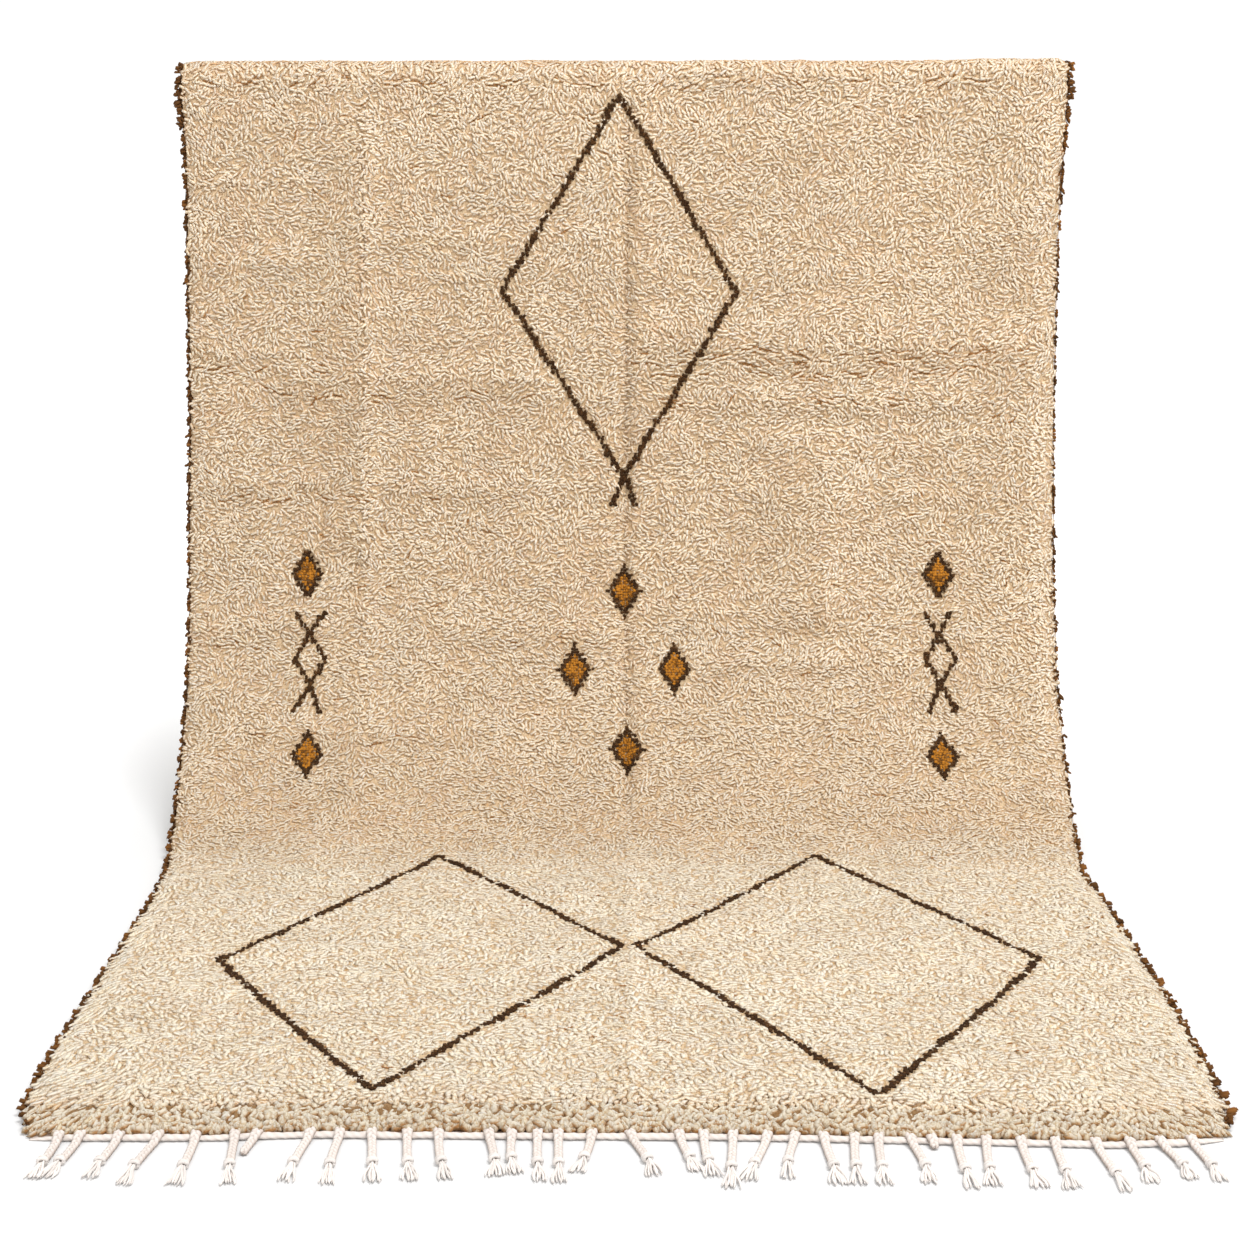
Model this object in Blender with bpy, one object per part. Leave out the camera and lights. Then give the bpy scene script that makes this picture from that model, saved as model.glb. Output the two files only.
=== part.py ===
"""Knotted wool pile rug with a woven ground, held by its top edge and draped onto the floor.

The rug hangs from the crest of a short turned-back end, leans forward a little, bends
through a curve that tightens towards the floor, and runs out flat towards the viewer.
Its pile side faces the viewer and then up.

Axes: +X to the viewer's right, +Y away from the viewer, +Z up, in metres. The origin is
under the middle of the finished rug, on the floor.

A point of the rug is named by three measures taken on the flat cloth:
    across  from the middle of the rug, positive to the right
    down    along the back of the ground weave, from the crest towards the front edge
    rise    over the back of the ground weave, on the pile side
"""

import math
import random

import bmesh
import bpy
from mathutils import Vector, noise

# Sizes of the flat cloth
HALF_WIDTH = 0.790          # middle to the edge of the pile
TOP_END = -0.004            # hidden end, behind the crest
FRONT_EDGE = 2.631          # end of the pile
RUG_THICKNESS = 0.020       # ground weave and pile together
RIM_SHARE = 0.74            # part of that thickness left at the outermost knots
BAND_WIDTH = 0.022          # flat-woven cotton band past the pile
BAND_THICKNESS = 0.007
SEAM_GAP = 0.0004           # clear space between neighbouring pieces

# The drape, seen from the side
LEAN = math.radians(6.0)            # hanging part, forward of plumb
CREST_START = 0.030                 # where the cloth turns back over the crest
CREST_RADIUS = 0.012                # inside radius of that turn
CREST_TURN = math.radians(98.0)
BEND_START = 0.45
BEND_END = 1.60                     # the cloth lies flat from here on
BEND_POWER = 2.25                   # the curve tightens towards the floor
SECTION_STEP = 0.005

# Mesh spacing
COLUMN_PITCH = 0.080
CREST_PITCH = 0.007
HANGING_PITCH = 0.070
BEND_PITCH = 0.055
FLOOR_PITCH = 0.075

# Edges of the pile at rest: down, left edge, right edge, reach of the edge tufts past it
EDGE_ROWS = (
    (0.00, -0.800, 0.792, 0.017),
    (0.04, -0.804, 0.794, 0.019),
    (0.16, -0.797, 0.788, 0.012),
    (0.33, -0.797, 0.781, 0.010),
    (0.65, -0.798, 0.780, 0.010),
    (0.80, -0.802, 0.781, 0.010),
    (1.10, -0.798, 0.781, 0.010),
    (1.30, -0.797, 0.783, 0.011),
    (1.49, -0.788, 0.778, 0.012),
    (1.62, -0.774, 0.764, 0.013),
    (1.76, -0.770, 0.772, 0.013),
    (1.95, -0.774, 0.777, 0.014),
    (2.18, -0.781, 0.784, 0.014),
    (2.40, -0.787, 0.783, 0.014),
    (2.58, -0.780, 0.778, 0.016),
    (2.64, -0.766, 0.766, 0.018),
)

# Unevenness of the top edge: across, height over its mean line
TOP_ROWS = (
    (-0.79, -0.002),
    (0.00, 0.000),
    (0.55, 0.002),
    (0.67, 0.005),
    (0.79, 0.006),
)

# Unevenness of the front edge: across, reach past its mean line
FRONT_ROWS = (
    (-0.79, 0.003),
    (-0.55, 0.003),
    (-0.43, -0.006),
    (-0.20, -0.003),
    (0.10, 0.000),
    (0.25, 0.006),
    (0.50, 0.018),
    (0.62, 0.024),
    (0.72, 0.019),
    (0.79, 0.003),
)

# Storage folds that run down the rug: across, from, to, half width, height
DOWN_FOLDS = (
    (0.008, 0.05, 1.40, 0.026, -0.0070),
    (0.006, 1.40, 2.62, 0.022, -0.0045),
    (-0.474, 0.12, 1.38, 0.060, 0.0070),
    (0.365, 0.55, 1.42, 0.055, 0.0070),
    (0.365, 0.05, 0.50, 0.050, 0.0030),
)

# Storage folds and wrinkles that run across it: down, from, to, half width, height
ACROSS_FOLDS = (
    (0.515, 0.02, 0.72, 0.050, 0.0070),
    (0.500, -0.78, -0.04, 0.055, 0.0050),
    (0.615, -0.78, -0.06, 0.050, -0.0040),
    (0.590, 0.10, 0.74, 0.040, -0.0035),
    (0.745, -0.78, -0.40, 0.035, -0.0040),
    (0.760, 0.12, 0.78, 0.035, -0.0035),
    (1.030, -0.78, -0.20, 0.050, 0.0050),
    (1.080, 0.10, 0.78, 0.050, -0.0045),
    (1.220, -0.60, -0.40, 0.030, -0.0040),
)
FOLD_FADE = 0.06                    # a fold dies out over this length at each end
STIFF_FROM = 1.30                   # from here the back of the cloth smooths out ...
STIFF_TO = 1.52                     # ... until it lies flat on the floor

# Lumps of the pile
LUMP_ACROSS = 0.085
LUMP_DOWN = 0.070
LUMP_HEIGHT = 0.0020
FRONT_LUMP_HEIGHT = 0.0035          # the last rows of knots are longer and clumped
FRONT_LUMP_REACH = 0.12

# Wool tufts along the side edges
TUFT_PITCH = 0.046
TUFT_LENGTH = 0.018                 # along the edge
SELVEDGE_CORD = 0.0035              # width of the bound edge that carries the tufts
SELVEDGE_HEIGHT = 0.0125

# Fringe: across, lean to the right in degrees, length, kind
FRINGE_ROWS = (
    (-0.744, -5, 0.118, "braid"),
    (-0.717, -10, 0.115, "braid"),
    (-0.666, -8, 0.117, "braid"),
    (-0.614, -9, 0.135, "braid"),
    (-0.565, -2, 0.135, "braid"),
    (-0.514, 5, 0.136, "braid"),
    (-0.486, -11, 0.055, "stub"),
    (-0.416, -6, 0.135, "braid"),
    (-0.377, 0, 0.140, "braid"),
    (-0.335, 6, 0.134, "braid"),
    (-0.288, 7, 0.131, "braid"),
    (-0.247, 9, 0.126, "braid"),
    (-0.181, 7, 0.116, "braid"),
    (-0.151, 5, 0.108, "braid"),
    (-0.117, 3, 0.130, "braid"),
    (-0.090, 2, 0.133, "braid"),
    (-0.046, -10, 0.104, "braid"),
    (0.005, 16, 0.115, "braid"),
    (0.069, 12, 0.102, "braid"),
    (0.101, 5, 0.114, "braid"),
    (0.139, -4, 0.145, "braid"),
    (0.184, -16, 0.128, "braid"),
    (0.220, -8, 0.115, "braid"),
    (0.258, 5, 0.130, "braid"),
    (0.298, -2, 0.128, "braid"),
    (0.329, -1, 0.128, "braid"),
    (0.371, 5, 0.121, "braid"),
    (0.398, 0, 0.022, "stub"),
    (0.431, 2, 0.133, "braid"),
    (0.469, -3, 0.124, "braid"),
    (0.514, 3, 0.127, "braid"),
    (0.558, 1, 0.127, "braid"),
    (0.611, 7, 0.133, "braid"),
    (0.655, 4, 0.109, "braid"),
    (0.696, 10, 0.102, "braid"),
    (0.737, 7, 0.113, "braid"),
)
BRAID_WIDTH = 0.0095
BRAID_HEIGHT = 0.0085
BRAID_SWAY = 0.0009                 # side to side, once for each crossing of the braid
BRAID_CROSSINGS = 7
KNOT_AT = 0.62                      # place of the knot, as a share of the strand's length

# The knot and the loose tassel: share of the strand's length, width, height
TASSEL_ROWS = (
    (KNOT_AT - 0.050, 0.0090, 0.0080),
    (KNOT_AT, 0.0135, 0.0115),
    (KNOT_AT + 0.055, 0.0090, 0.0080),
    (0.800, 0.0125, 0.0080),
    (0.950, 0.0145, 0.0065),
    (1.000, 0.0100, 0.0035),
)


def read_rows(rows, value, column):
    """Value of one column of a table whose first column rises, between its rows."""
    if value <= rows[0][0]:
        return rows[0][column]
    for low, high in zip(rows, rows[1:]):
        if value <= high[0]:
            share = (value - low[0]) / (high[0] - low[0])
            return low[column] + share * (high[column] - low[column])
    return rows[-1][column]


def ease(value, low, high):
    """Smooth change from 0 at low to 1 at high."""
    share = min(max((value - low) / (high - low), 0.0), 1.0)
    return share * share * (3.0 - 2.0 * share)


def run_angle(down):
    """Direction of the run of the cloth: 0 straight down, 90 degrees straight forward."""
    if down < CREST_START:
        turned = (CREST_START - down) / (CREST_RADIUS * CREST_TURN)
        return LEAN + CREST_TURN * min(turned, 1.0)
    bent = min(max((down - BEND_START) / (BEND_END - BEND_START), 0.0), 1.0)
    return LEAN + (math.pi / 2 - LEAN) * bent ** BEND_POWER


def build_section():
    """Rows of down, distance behind the front edge and height, worked back from the floor."""
    steps = round((FRONT_EDGE - TOP_END) / SECTION_STEP)
    step = (FRONT_EDGE - TOP_END) / steps
    rows = [(FRONT_EDGE, 0.0, 0.0)]
    for _ in range(steps):
        down, behind, height = rows[-1]
        angle = run_angle(down - step / 2)
        rows.append((down - step, behind + step * math.sin(angle), height + step * math.cos(angle)))
    rows.reverse()
    return rows


SECTION = build_section()


def fold_shape(distance, half_width):
    """Rounded ridge of height 1, gone at half_width from its line."""
    share = abs(distance) / half_width
    if share >= 1.0:
        return 0.0
    return (1.0 - share) ** 2 * (1.0 + 2.0 * share)


def fold_height(across, down):
    """How far the storage folds lift the cloth towards the pile side."""
    total = 0.0
    for line, start, end, half_width, height in DOWN_FOLDS:
        strength = ease(down, start, start + FOLD_FADE) * (1.0 - ease(down, end - FOLD_FADE, end))
        total += height * strength * fold_shape(across - line, half_width)
    for line, start, end, half_width, height in ACROSS_FOLDS:
        strength = ease(across, start, start + FOLD_FADE) * (1.0 - ease(across, end - FOLD_FADE, end))
        total += height * strength * fold_shape(down - line, half_width)
    return total


def back_rise(across, down):
    """The back follows the folds where the cloth hangs and is flat where it lies."""
    return fold_height(across, down) * (1.0 - ease(down, STIFF_FROM, STIFF_TO))


def pile_rise(across, down):
    """The pile surface: thickness, folds and lumps, lower at the side edges."""
    rim = RIM_SHARE if abs(across) > HALF_WIDTH - 0.001 else 1.0
    lump_height = LUMP_HEIGHT + (FRONT_LUMP_HEIGHT - LUMP_HEIGHT) * ease(
        down, FRONT_EDGE - FRONT_LUMP_REACH, FRONT_EDGE)
    lump = noise.noise(Vector((across / LUMP_ACROSS, down / LUMP_DOWN, 0.5)))
    return RUG_THICKNESS * rim + fold_height(across, down) + lump_height * lump


def place(across, down, rise):
    """Point in the room of a point of the flat cloth."""
    angle = run_angle(down)
    behind = read_rows(SECTION, down, 1) - rise * math.cos(angle)
    height = read_rows(SECTION, down, 2) + rise * math.sin(angle)
    left = read_rows(EDGE_ROWS, down, 1)
    right = read_rows(EDGE_ROWS, down, 2)
    share = (across + HALF_WIDTH) / (2.0 * HALF_WIDTH)
    lying = ease(down, BEND_END, FRONT_EDGE)
    hanging = 1.0 - ease(down, 0.0, BEND_START)
    return Vector((
        left + share * (right - left),
        behind - lying * read_rows(FRONT_ROWS, across, 1),
        height + hanging * read_rows(TOP_ROWS, across, 1),
    ))


def even_lines(low, high, pitch):
    """Evenly spaced values from low up to, but not including, high."""
    count = max(1, round((high - low) / pitch))
    return [low + (high - low) * index / count for index in range(count)]


def with_extra(lines, extra, clear):
    """Insert the extra values and drop the even ones that lie nearer than clear to one."""
    kept = [line for line in lines if all(abs(line - value) > clear for value in extra)]
    return sorted(kept + list(extra))


def rug_columns():
    """Lines across the rug at which its mesh has points."""
    even = even_lines(-HALF_WIDTH, HALF_WIDTH, COLUMN_PITCH)[1:]
    creases = []
    for line, _, _, half_width, _ in DOWN_FOLDS[1:4]:
        creases += [line - half_width, line, line + half_width]
    inner = with_extra(even, creases, 0.035)
    return [-HALF_WIDTH] + inner + [HALF_WIDTH]


def rug_rows():
    """Lines down the rug at which its mesh has points."""
    crest_end = CREST_START - CREST_RADIUS * CREST_TURN
    even = [TOP_END]
    even += even_lines(crest_end, CREST_START, CREST_PITCH)
    even += even_lines(CREST_START, BEND_START, HANGING_PITCH)
    even += even_lines(BEND_START, BEND_END, BEND_PITCH)
    even += even_lines(BEND_END, FRONT_EDGE, FLOOR_PITCH)
    even.append(FRONT_EDGE)
    return even


COLUMNS = rug_columns()
ROWS = rug_rows()


def add_points(bm, points):
    """New vertices at the given points."""
    return [bm.verts.new(point) for point in points]


def bridge(bm, first, second, closed):
    """Faces between two runs of as many vertices, all round when closed."""
    count = len(first)
    last = count if closed else count - 1
    for index in range(last):
        after = (index + 1) % count
        bm.faces.new((first[index], first[after], second[after], second[index]))


def grow(bm, root, rings):
    """Carry a ring of root vertices out through further rings and close the end."""
    current = root
    for ring in rings:
        fresh = add_points(bm, ring)
        bridge(bm, current, fresh, closed=True)
        current = fresh
    bm.faces.new(current)


def make_object(name, bm, material):
    """Closed mesh object with its faces turned outward."""
    bmesh.ops.recalc_face_normals(bm, faces=bm.faces)
    mesh = bpy.data.meshes.new(name)
    bm.to_mesh(mesh)
    bm.free()
    mesh.materials.append(material)
    made = bpy.data.objects.new(name, mesh)
    bpy.context.collection.objects.link(made)
    return made


def make_material(name, color, roughness):
    """Plain cloth material."""
    material = bpy.data.materials.new(name)
    material.use_nodes = True
    shader = material.node_tree.nodes["Principled BSDF"]
    shader.inputs["Base Color"].default_value = (*color, 1.0)
    shader.inputs["Roughness"].default_value = roughness
    shader.inputs["Metallic"].default_value = 0.0
    return material


def make_body(material):
    """The knotted field: one lumpy draped slab."""
    bm = bmesh.new()
    back = []
    pile = []
    for down in ROWS:
        back.append(add_points(bm, [place(a, down, back_rise(a, down)) for a in COLUMNS]))
        pile.append(add_points(bm, [place(a, down, pile_rise(a, down)) for a in COLUMNS]))
    for sheet in (back, pile):
        for upper, lower in zip(sheet, sheet[1:]):
            bridge(bm, upper, lower, closed=False)
    for end in (0, -1):
        bridge(bm, back[end], pile[end], closed=False)
        bridge(bm, [row[end] for row in back], [row[end] for row in pile], closed=False)
    return make_object("rug_body", bm, material)


def edge_point(side, down, outward, rise):
    """Point beside the pile's edge, on straight lines between the rows of the field's mesh."""
    across = side * HALF_WIDTH
    for low, high in zip(ROWS, ROWS[1:]):
        if down <= high:
            break
    share = (down - low) / (high - low)
    at_low = place(across, low, back_rise(across, low) + rise)
    at_high = place(across, high, back_rise(across, high) + rise)
    point = at_low.lerp(at_high, share)
    point.x += side * outward
    return point


def tuft_spans(chance):
    """Start and end of each wool tuft down one edge, a little unevenly spaced."""
    spans = []
    down = TOP_END + 0.008
    while down < FRONT_EDGE - TUFT_LENGTH:
        length = TUFT_LENGTH * chance.uniform(0.75, 1.25)
        spans.append((down, min(down + length, FRONT_EDGE - 0.004)))
        down += TUFT_PITCH * chance.uniform(0.75, 1.25)
    return spans


def make_selvedge(name, side, seed, material):
    """Bound side edge: a narrow strip beside the field, with the wool tufts that it carries."""
    chance = random.Random(seed)
    spans = tuft_spans(chance)
    ends = [end for span in spans for end in span]
    free = [line for line in ROWS[1:-1] if not any(low < line < high for low, high in spans)]
    lines = [TOP_END] + with_extra(free, ends, 0.004) + [FRONT_EDGE]
    inner = SEAM_GAP
    outer = SEAM_GAP + SELVEDGE_CORD
    corners = ((inner, 0.0), (outer, 0.0), (outer, SELVEDGE_HEIGHT), (inner, SELVEDGE_HEIGHT))
    starts = {span[0]: span for span in spans}

    bm = bmesh.new()
    rings = [add_points(bm, [edge_point(side, line, *corner) for corner in corners])
             for line in lines]
    bm.faces.new(rings[0])
    bm.faces.new(rings[-1])
    for line, first, second in zip(lines, rings, rings[1:]):
        for index in range(4):
            if index == 1 and line in starts:
                continue
            after = (index + 1) % 4
            bm.faces.new((first[index], first[after], second[after], second[index]))
        if line in starts:
            root = [first[1], second[1], second[2], first[2]]
            grow(bm, root, tuft_rings(side, starts[line], chance))
    return make_object(name, bm, material)


def tuft_rings(side, span, chance):
    """A fat middle ring and a small end ring for one wool tuft."""
    start, end = span
    middle = (start + end) / 2
    half = (end - start) / 2
    reach = read_rows(EDGE_ROWS, middle, 3) * chance.uniform(0.8, 1.15)
    slant = half * chance.uniform(-0.5, 0.5)
    rings = []
    for out_share, length_share, low, high in ((0.60, 0.95, 0.0005, 0.0135), (1.0, 0.40, 0.0030, 0.0095)):
        centre = middle + slant * out_share
        top = max(centre - half * length_share, TOP_END)
        bottom = min(centre + half * length_share, FRONT_EDGE)
        outward = max(reach * out_share, SEAM_GAP + SELVEDGE_CORD + 0.002)
        rings.append([
            edge_point(side, top, outward, low),
            edge_point(side, bottom, outward, low),
            edge_point(side, bottom, outward, high),
            edge_point(side, top, outward, high),
        ])
    return rings


def front_point(across, forward, height):
    """Point past the pile's front edge, on straight lines between the field's columns."""
    for low, high in zip(COLUMNS, COLUMNS[1:]):
        if across <= high:
            break
    share = (across - low) / (high - low)
    point = place(low, FRONT_EDGE, 0.0).lerp(place(high, FRONT_EDGE, 0.0), share)
    return Vector((point.x, point.y - forward, height))


def strand_sections(length, kind):
    """Rows of distance from the root, sideways sway, width and height for one strand."""
    rows = []
    braid_end = length * (TASSEL_ROWS[0][0] - 0.04) if kind == "braid" else length
    for index in range(1, BRAID_CROSSINGS + 1):
        sway = BRAID_SWAY if index % 2 else -BRAID_SWAY
        rows.append((braid_end * index / BRAID_CROSSINGS, sway, BRAID_WIDTH, BRAID_HEIGHT))
    if kind == "braid":
        rows += [(share * length, 0.0, width, height) for share, width, height in TASSEL_ROWS]
    else:
        rows = rows[1::2]
        rows.append((length + 0.004, 0.0, BRAID_WIDTH * 0.6, BRAID_HEIGHT * 0.5))
    return rows


def strand_rings(across, lean, length, kind):
    """Four-sided rings of one strand that lies level on the floor."""
    root = front_point(across, SEAM_GAP + BAND_WIDTH, 0.0)
    run = Vector((math.sin(lean), -math.cos(lean), 0.0))
    aside = Vector((math.cos(lean), math.sin(lean), 0.0))
    rings = []
    for distance, sway, width, height in strand_sections(length, kind):
        centre = root + run * distance + aside * sway
        top = Vector((0.0, 0.0, height))
        rings.append([
            centre - aside * width * 0.50,
            centre + aside * width * 0.50,
            centre + aside * width * 0.36 + top,
            centre - aside * width * 0.36 + top,
        ])
    return rings


def make_fringe(material):
    """Flat-woven cotton band along the front edge and the braided strands that leave it."""
    half = BRAID_WIDTH / 2
    roots = [(row[0] - half, row[0] + half) for row in FRINGE_ROWS]
    root_edges = [edge for root in roots for edge in root]
    free = [line for line in COLUMNS[1:-1] if not any(low < line < high for low, high in roots)]
    lines = [COLUMNS[0]] + with_extra(free, root_edges, 0.003) + [COLUMNS[-1]]
    near = SEAM_GAP
    far = SEAM_GAP + BAND_WIDTH
    low_top = BAND_THICKNESS * 0.8
    corners = ((near, 0.0), (far, 0.0), (far, low_top), (near, BAND_THICKNESS))
    strands = {row[0] - half: row for row in FRINGE_ROWS}

    bm = bmesh.new()
    rings = [add_points(bm, [front_point(line, *corner) for corner in corners])
             for line in lines]
    bm.faces.new(rings[0])
    bm.faces.new(rings[-1])
    for line, first, second in zip(lines, rings, rings[1:]):
        for index in range(4):
            if index == 1 and line in strands:
                continue
            after = (index + 1) % 4
            bm.faces.new((first[index], first[after], second[after], second[index]))
        if line in strands:
            across, lean, length, kind = strands[line]
            root = [first[1], second[1], second[2], first[2]]
            grow(bm, root, strand_rings(across, math.radians(lean), length, kind))
    return make_object("fringe_front", bm, material)


def stand_on_origin(made):
    """Move every mesh so that the rug's box is centred over the origin, on the floor."""
    points = [vertex.co for item in made for vertex in item.data.vertices]
    low = Vector([min(point[axis] for point in points) for axis in range(3)])
    high = Vector([max(point[axis] for point in points) for axis in range(3)])
    shift = Vector((-(low.x + high.x) / 2, -(low.y + high.y) / 2, -low.z))
    for item in made:
        for vertex in item.data.vertices:
            vertex.co += shift


def main():
    for item in list(bpy.data.objects):
        bpy.data.objects.remove(item, do_unlink=True)
    cream_wool = make_material("cream_wool", (0.72, 0.58, 0.39), 0.92)
    brown_wool = make_material("brown_wool", (0.13, 0.06, 0.02), 0.92)
    white_cotton = make_material("white_cotton", (0.84, 0.78, 0.73), 0.88)
    made = [
        make_body(cream_wool),
        make_selvedge("selvedge_left", -1, 11, brown_wool),
        make_selvedge("selvedge_right", 1, 12, brown_wool),
        make_fringe(white_cotton),
    ]
    stand_on_origin(made)


main()
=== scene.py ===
"""Looks of the knotted wool rug: its ground, every tuft of its pile, its bound edges and its fringe.

A point of the rug is named as in the part's source, by three measures on the flat cloth:
    across  from the middle of the rug, positive to the right
    down    along the back of the ground weave, from the crest towards the front edge
    rise    over the back of the ground weave, on the pile side
place() turns them into a point in the room. Strands are swept along paths that are laid out
in those measures, many at once, as numpy arrays.
"""

import math
import random

import bpy
import numpy as np
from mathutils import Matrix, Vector


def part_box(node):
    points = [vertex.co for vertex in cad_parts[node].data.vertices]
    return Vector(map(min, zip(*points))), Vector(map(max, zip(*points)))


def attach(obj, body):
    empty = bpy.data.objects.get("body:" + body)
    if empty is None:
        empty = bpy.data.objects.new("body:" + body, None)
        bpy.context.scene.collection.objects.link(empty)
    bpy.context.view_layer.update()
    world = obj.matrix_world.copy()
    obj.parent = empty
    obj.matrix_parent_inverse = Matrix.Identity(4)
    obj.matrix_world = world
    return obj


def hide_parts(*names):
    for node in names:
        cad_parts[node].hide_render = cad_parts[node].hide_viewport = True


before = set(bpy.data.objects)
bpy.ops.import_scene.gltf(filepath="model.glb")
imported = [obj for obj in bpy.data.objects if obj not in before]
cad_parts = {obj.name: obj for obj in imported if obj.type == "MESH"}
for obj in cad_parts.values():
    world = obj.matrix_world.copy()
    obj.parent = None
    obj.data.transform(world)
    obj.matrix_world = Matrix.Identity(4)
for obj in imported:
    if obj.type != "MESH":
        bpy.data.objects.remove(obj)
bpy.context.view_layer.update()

# ---------------------------------------------------------------- sizes of the cloth

HALF_WIDTH = 0.790
TOP_END = -0.004
FRONT_EDGE = 2.631
RUG_THICKNESS = 0.020
PILE_CLEAR = 0.0005             # the pile is this much lower on average, with its lumps
BAND_WIDTH = 0.022
RIM_SINKS = (0.0035, 0.0060)    # the pile is this much lower at its left and right edge ...
RIM_WIDTH = 0.022               # ... and reaches its height this far in

# The drape
LEAN = math.radians(6.0)
CREST_START = 0.030
CREST_RADIUS = 0.012
CREST_TURN = math.radians(98.0)
BEND_START = 0.45
BEND_END = 1.60
BEND_POWER = 2.25
SECTION_STEP = 0.005
ASIDE = np.array((1.0, 0.0, 0.0))        # across the rug, in the room
FLAT_OUT = -math.pi / 2     # first side of a three-sided strand, so that a flat one faces out
# The pile side is longer than the back where the cloth turns over the crest
CREST_STRETCH = (CREST_RADIUS + RUG_THICKNESS) / CREST_RADIUS
PILE_TOP = CREST_START - (CREST_START - TOP_END) * CREST_STRETCH

# Edges of the pile: down, left edge, right edge, reach of the edge tufts past it
EDGE_ROWS = np.array((
    (0.00, -0.800, 0.792, 0.011),
    (0.04, -0.804, 0.794, 0.019),
    (0.16, -0.797, 0.788, 0.012),
    (0.33, -0.797, 0.781, 0.010),
    (0.65, -0.798, 0.780, 0.010),
    (0.80, -0.802, 0.781, 0.010),
    (1.10, -0.798, 0.781, 0.010),
    (1.30, -0.797, 0.783, 0.011),
    (1.49, -0.788, 0.778, 0.012),
    (1.62, -0.774, 0.764, 0.013),
    (1.76, -0.770, 0.772, 0.013),
    (1.95, -0.774, 0.777, 0.014),
    (2.18, -0.781, 0.784, 0.014),
    (2.40, -0.787, 0.783, 0.014),
    (2.58, -0.780, 0.778, 0.016),
    (2.64, -0.766, 0.766, 0.018),
))

# Unevenness of the top edge: across, height over its mean line
TOP_ROWS = np.array(((-0.79, -0.002), (0.00, 0.000), (0.55, 0.002), (0.67, 0.005), (0.79, 0.006)))

# Unevenness of the front edge: across, reach past its mean line
FRONT_ROWS = np.array((
    (-0.79, 0.003),
    (-0.55, 0.003),
    (-0.43, -0.006),
    (-0.20, -0.003),
    (0.10, 0.000),
    (0.25, 0.006),
    (0.50, 0.018),
    (0.62, 0.024),
    (0.72, 0.019),
    (0.79, 0.003),
))

# Storage folds that run down the rug: across, from, to, width of the left and right face, height
DOWN_FOLDS = (
    (0.008, 0.05, 1.44, 0.022, 0.020, -0.0095),
    (0.010, 1.62, 2.62, 0.060, 0.018, 0.0045),
    (-0.474, 0.06, 0.92, 0.110, 0.042, 0.0120),
    (-0.474, 0.80, 1.42, 0.080, 0.050, 0.0040),
    (0.365, 0.64, 1.06, 0.170, 0.120, 0.0110),
    (0.365, 0.90, 1.46, 0.050, 0.050, 0.0016),
    (0.748, 0.05, 1.44, 0.160, 0.045, 0.0065),
)

# Storage folds and wrinkles that run across it: down, from, to, width of the upper and lower face, height
ACROSS_FOLDS = (
    (0.508, 0.00, 0.76, 0.080, 0.070, 0.0068),
    (0.522, -0.80, -0.56, 0.055, 0.042, 0.0045),
    (0.572, -0.66, -0.12, 0.070, 0.060, 0.0056),
    (0.360, -0.80, -0.50, 0.045, 0.040, 0.0030),
    (0.315, -0.48, 0.00, 0.045, 0.040, 0.0026),
    (0.215, -0.80, -0.55, 0.040, 0.035, 0.0026),
    (0.615, 0.08, 0.74, 0.050, 0.040, 0.0030),
    (0.762, -0.80, -0.49, 0.055, 0.044, 0.0045),
    (0.772, -0.47, -0.14, 0.050, 0.042, 0.0036),
    (0.790, 0.20, 0.78, 0.045, 0.040, 0.0026),
    (1.035, -0.80, -0.50, 0.055, 0.044, 0.0044),
    (1.040, -0.34, 0.02, 0.050, 0.042, 0.0036),
    (1.100, 0.08, 0.60, 0.050, 0.042, 0.0030),
    (1.240, -0.70, -0.20, 0.050, 0.040, 0.0030),
)
FOLD_FADE = 0.06
# Painted light and shade on the folds: darker on left and lower faces and in the middle valley
FOLD_SHADING_SIDEWAYS = -0.45
FOLD_SHADING_DOWN = 0.32
FOLD_SHADING_LIMIT = 0.070
VALLEY_SHADE = 0.07
FOLD_SHADE_WARMTH = np.array((0.80, 1.00, 1.30))
SLOPE_STEP = 0.002
# The back follows the folds down to here, and is flat from there on
STIFF_FROM = 1.30
STIFF_TO = 1.52
# Lumps of the pile: height, size across and down, seed
LUMPS = ((0.0011, 0.060, 0.045, 1), (0.0009, 0.022, 0.018, 2))
FRONT_LUMPS = 1.6           # they grow by this share towards the front edge ...
FRONT_LUMPS_FROM = 0.12     # ... from this far before it
NOISE_CELLS = 128           # the smooth noise repeats after this many lumps
GROUND_PITCH = 0.022        # grid of the ground ...
VALLEY_COLUMNS = np.array((-1.0, -0.6, -0.3, 0.0, 0.3, 0.6, 1.0))     # ... finer across the middle fold
VALLEY_MARGIN = 0.005       # no even column is this near to them
CREST_ROWS = 8              # ... and over the crest
FRONT_SHADE_FROM = 0.09       # painted shade on the bed under the front locks, before the front edge ...
FRONT_SHADE_TO = 0.05         # ... and where it is fully dark

# ---------------------------------------------------------------- the pile

# The tufts lie combed in patches, each with its own direction and bend
PATCH_ACROSS = 0.034
PATCH_DOWN = 0.029
PATCH_SHIFT = 0.42          # how far a patch's middle strays from its place, as a share
PATCH_RADIUS = 0.032        # smallest radius of the arcs in which a patch is combed
PATCH_MINGLE = 0.0045       # how far the tufts of two patches mingle where they meet
SEAM_WIDTH = 0.0035         # where two patches meet the pile parts by this much ...
SEAM_DEPTH = 0.0018         # ... and is this much lower ...
SEAM_SHADE = 0.22           # ... and this much more shaded
TUFT_SINK = 0.0008          # the lowest tuft lies this much lower than the highest one
TUFT_RADII = (0.88, 1.12)   # spread of the thickness of the combed tufts and of the fillers
FILL_RADII = (0.95, 1.20)
SHORT_TUFT = 0.65           # a tuft whose tip would cover a motif is cut to this share
SPILL = (0.006, 0.008)      # reach of the tufts past the edge, and its gain where they are combed outwards
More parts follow.
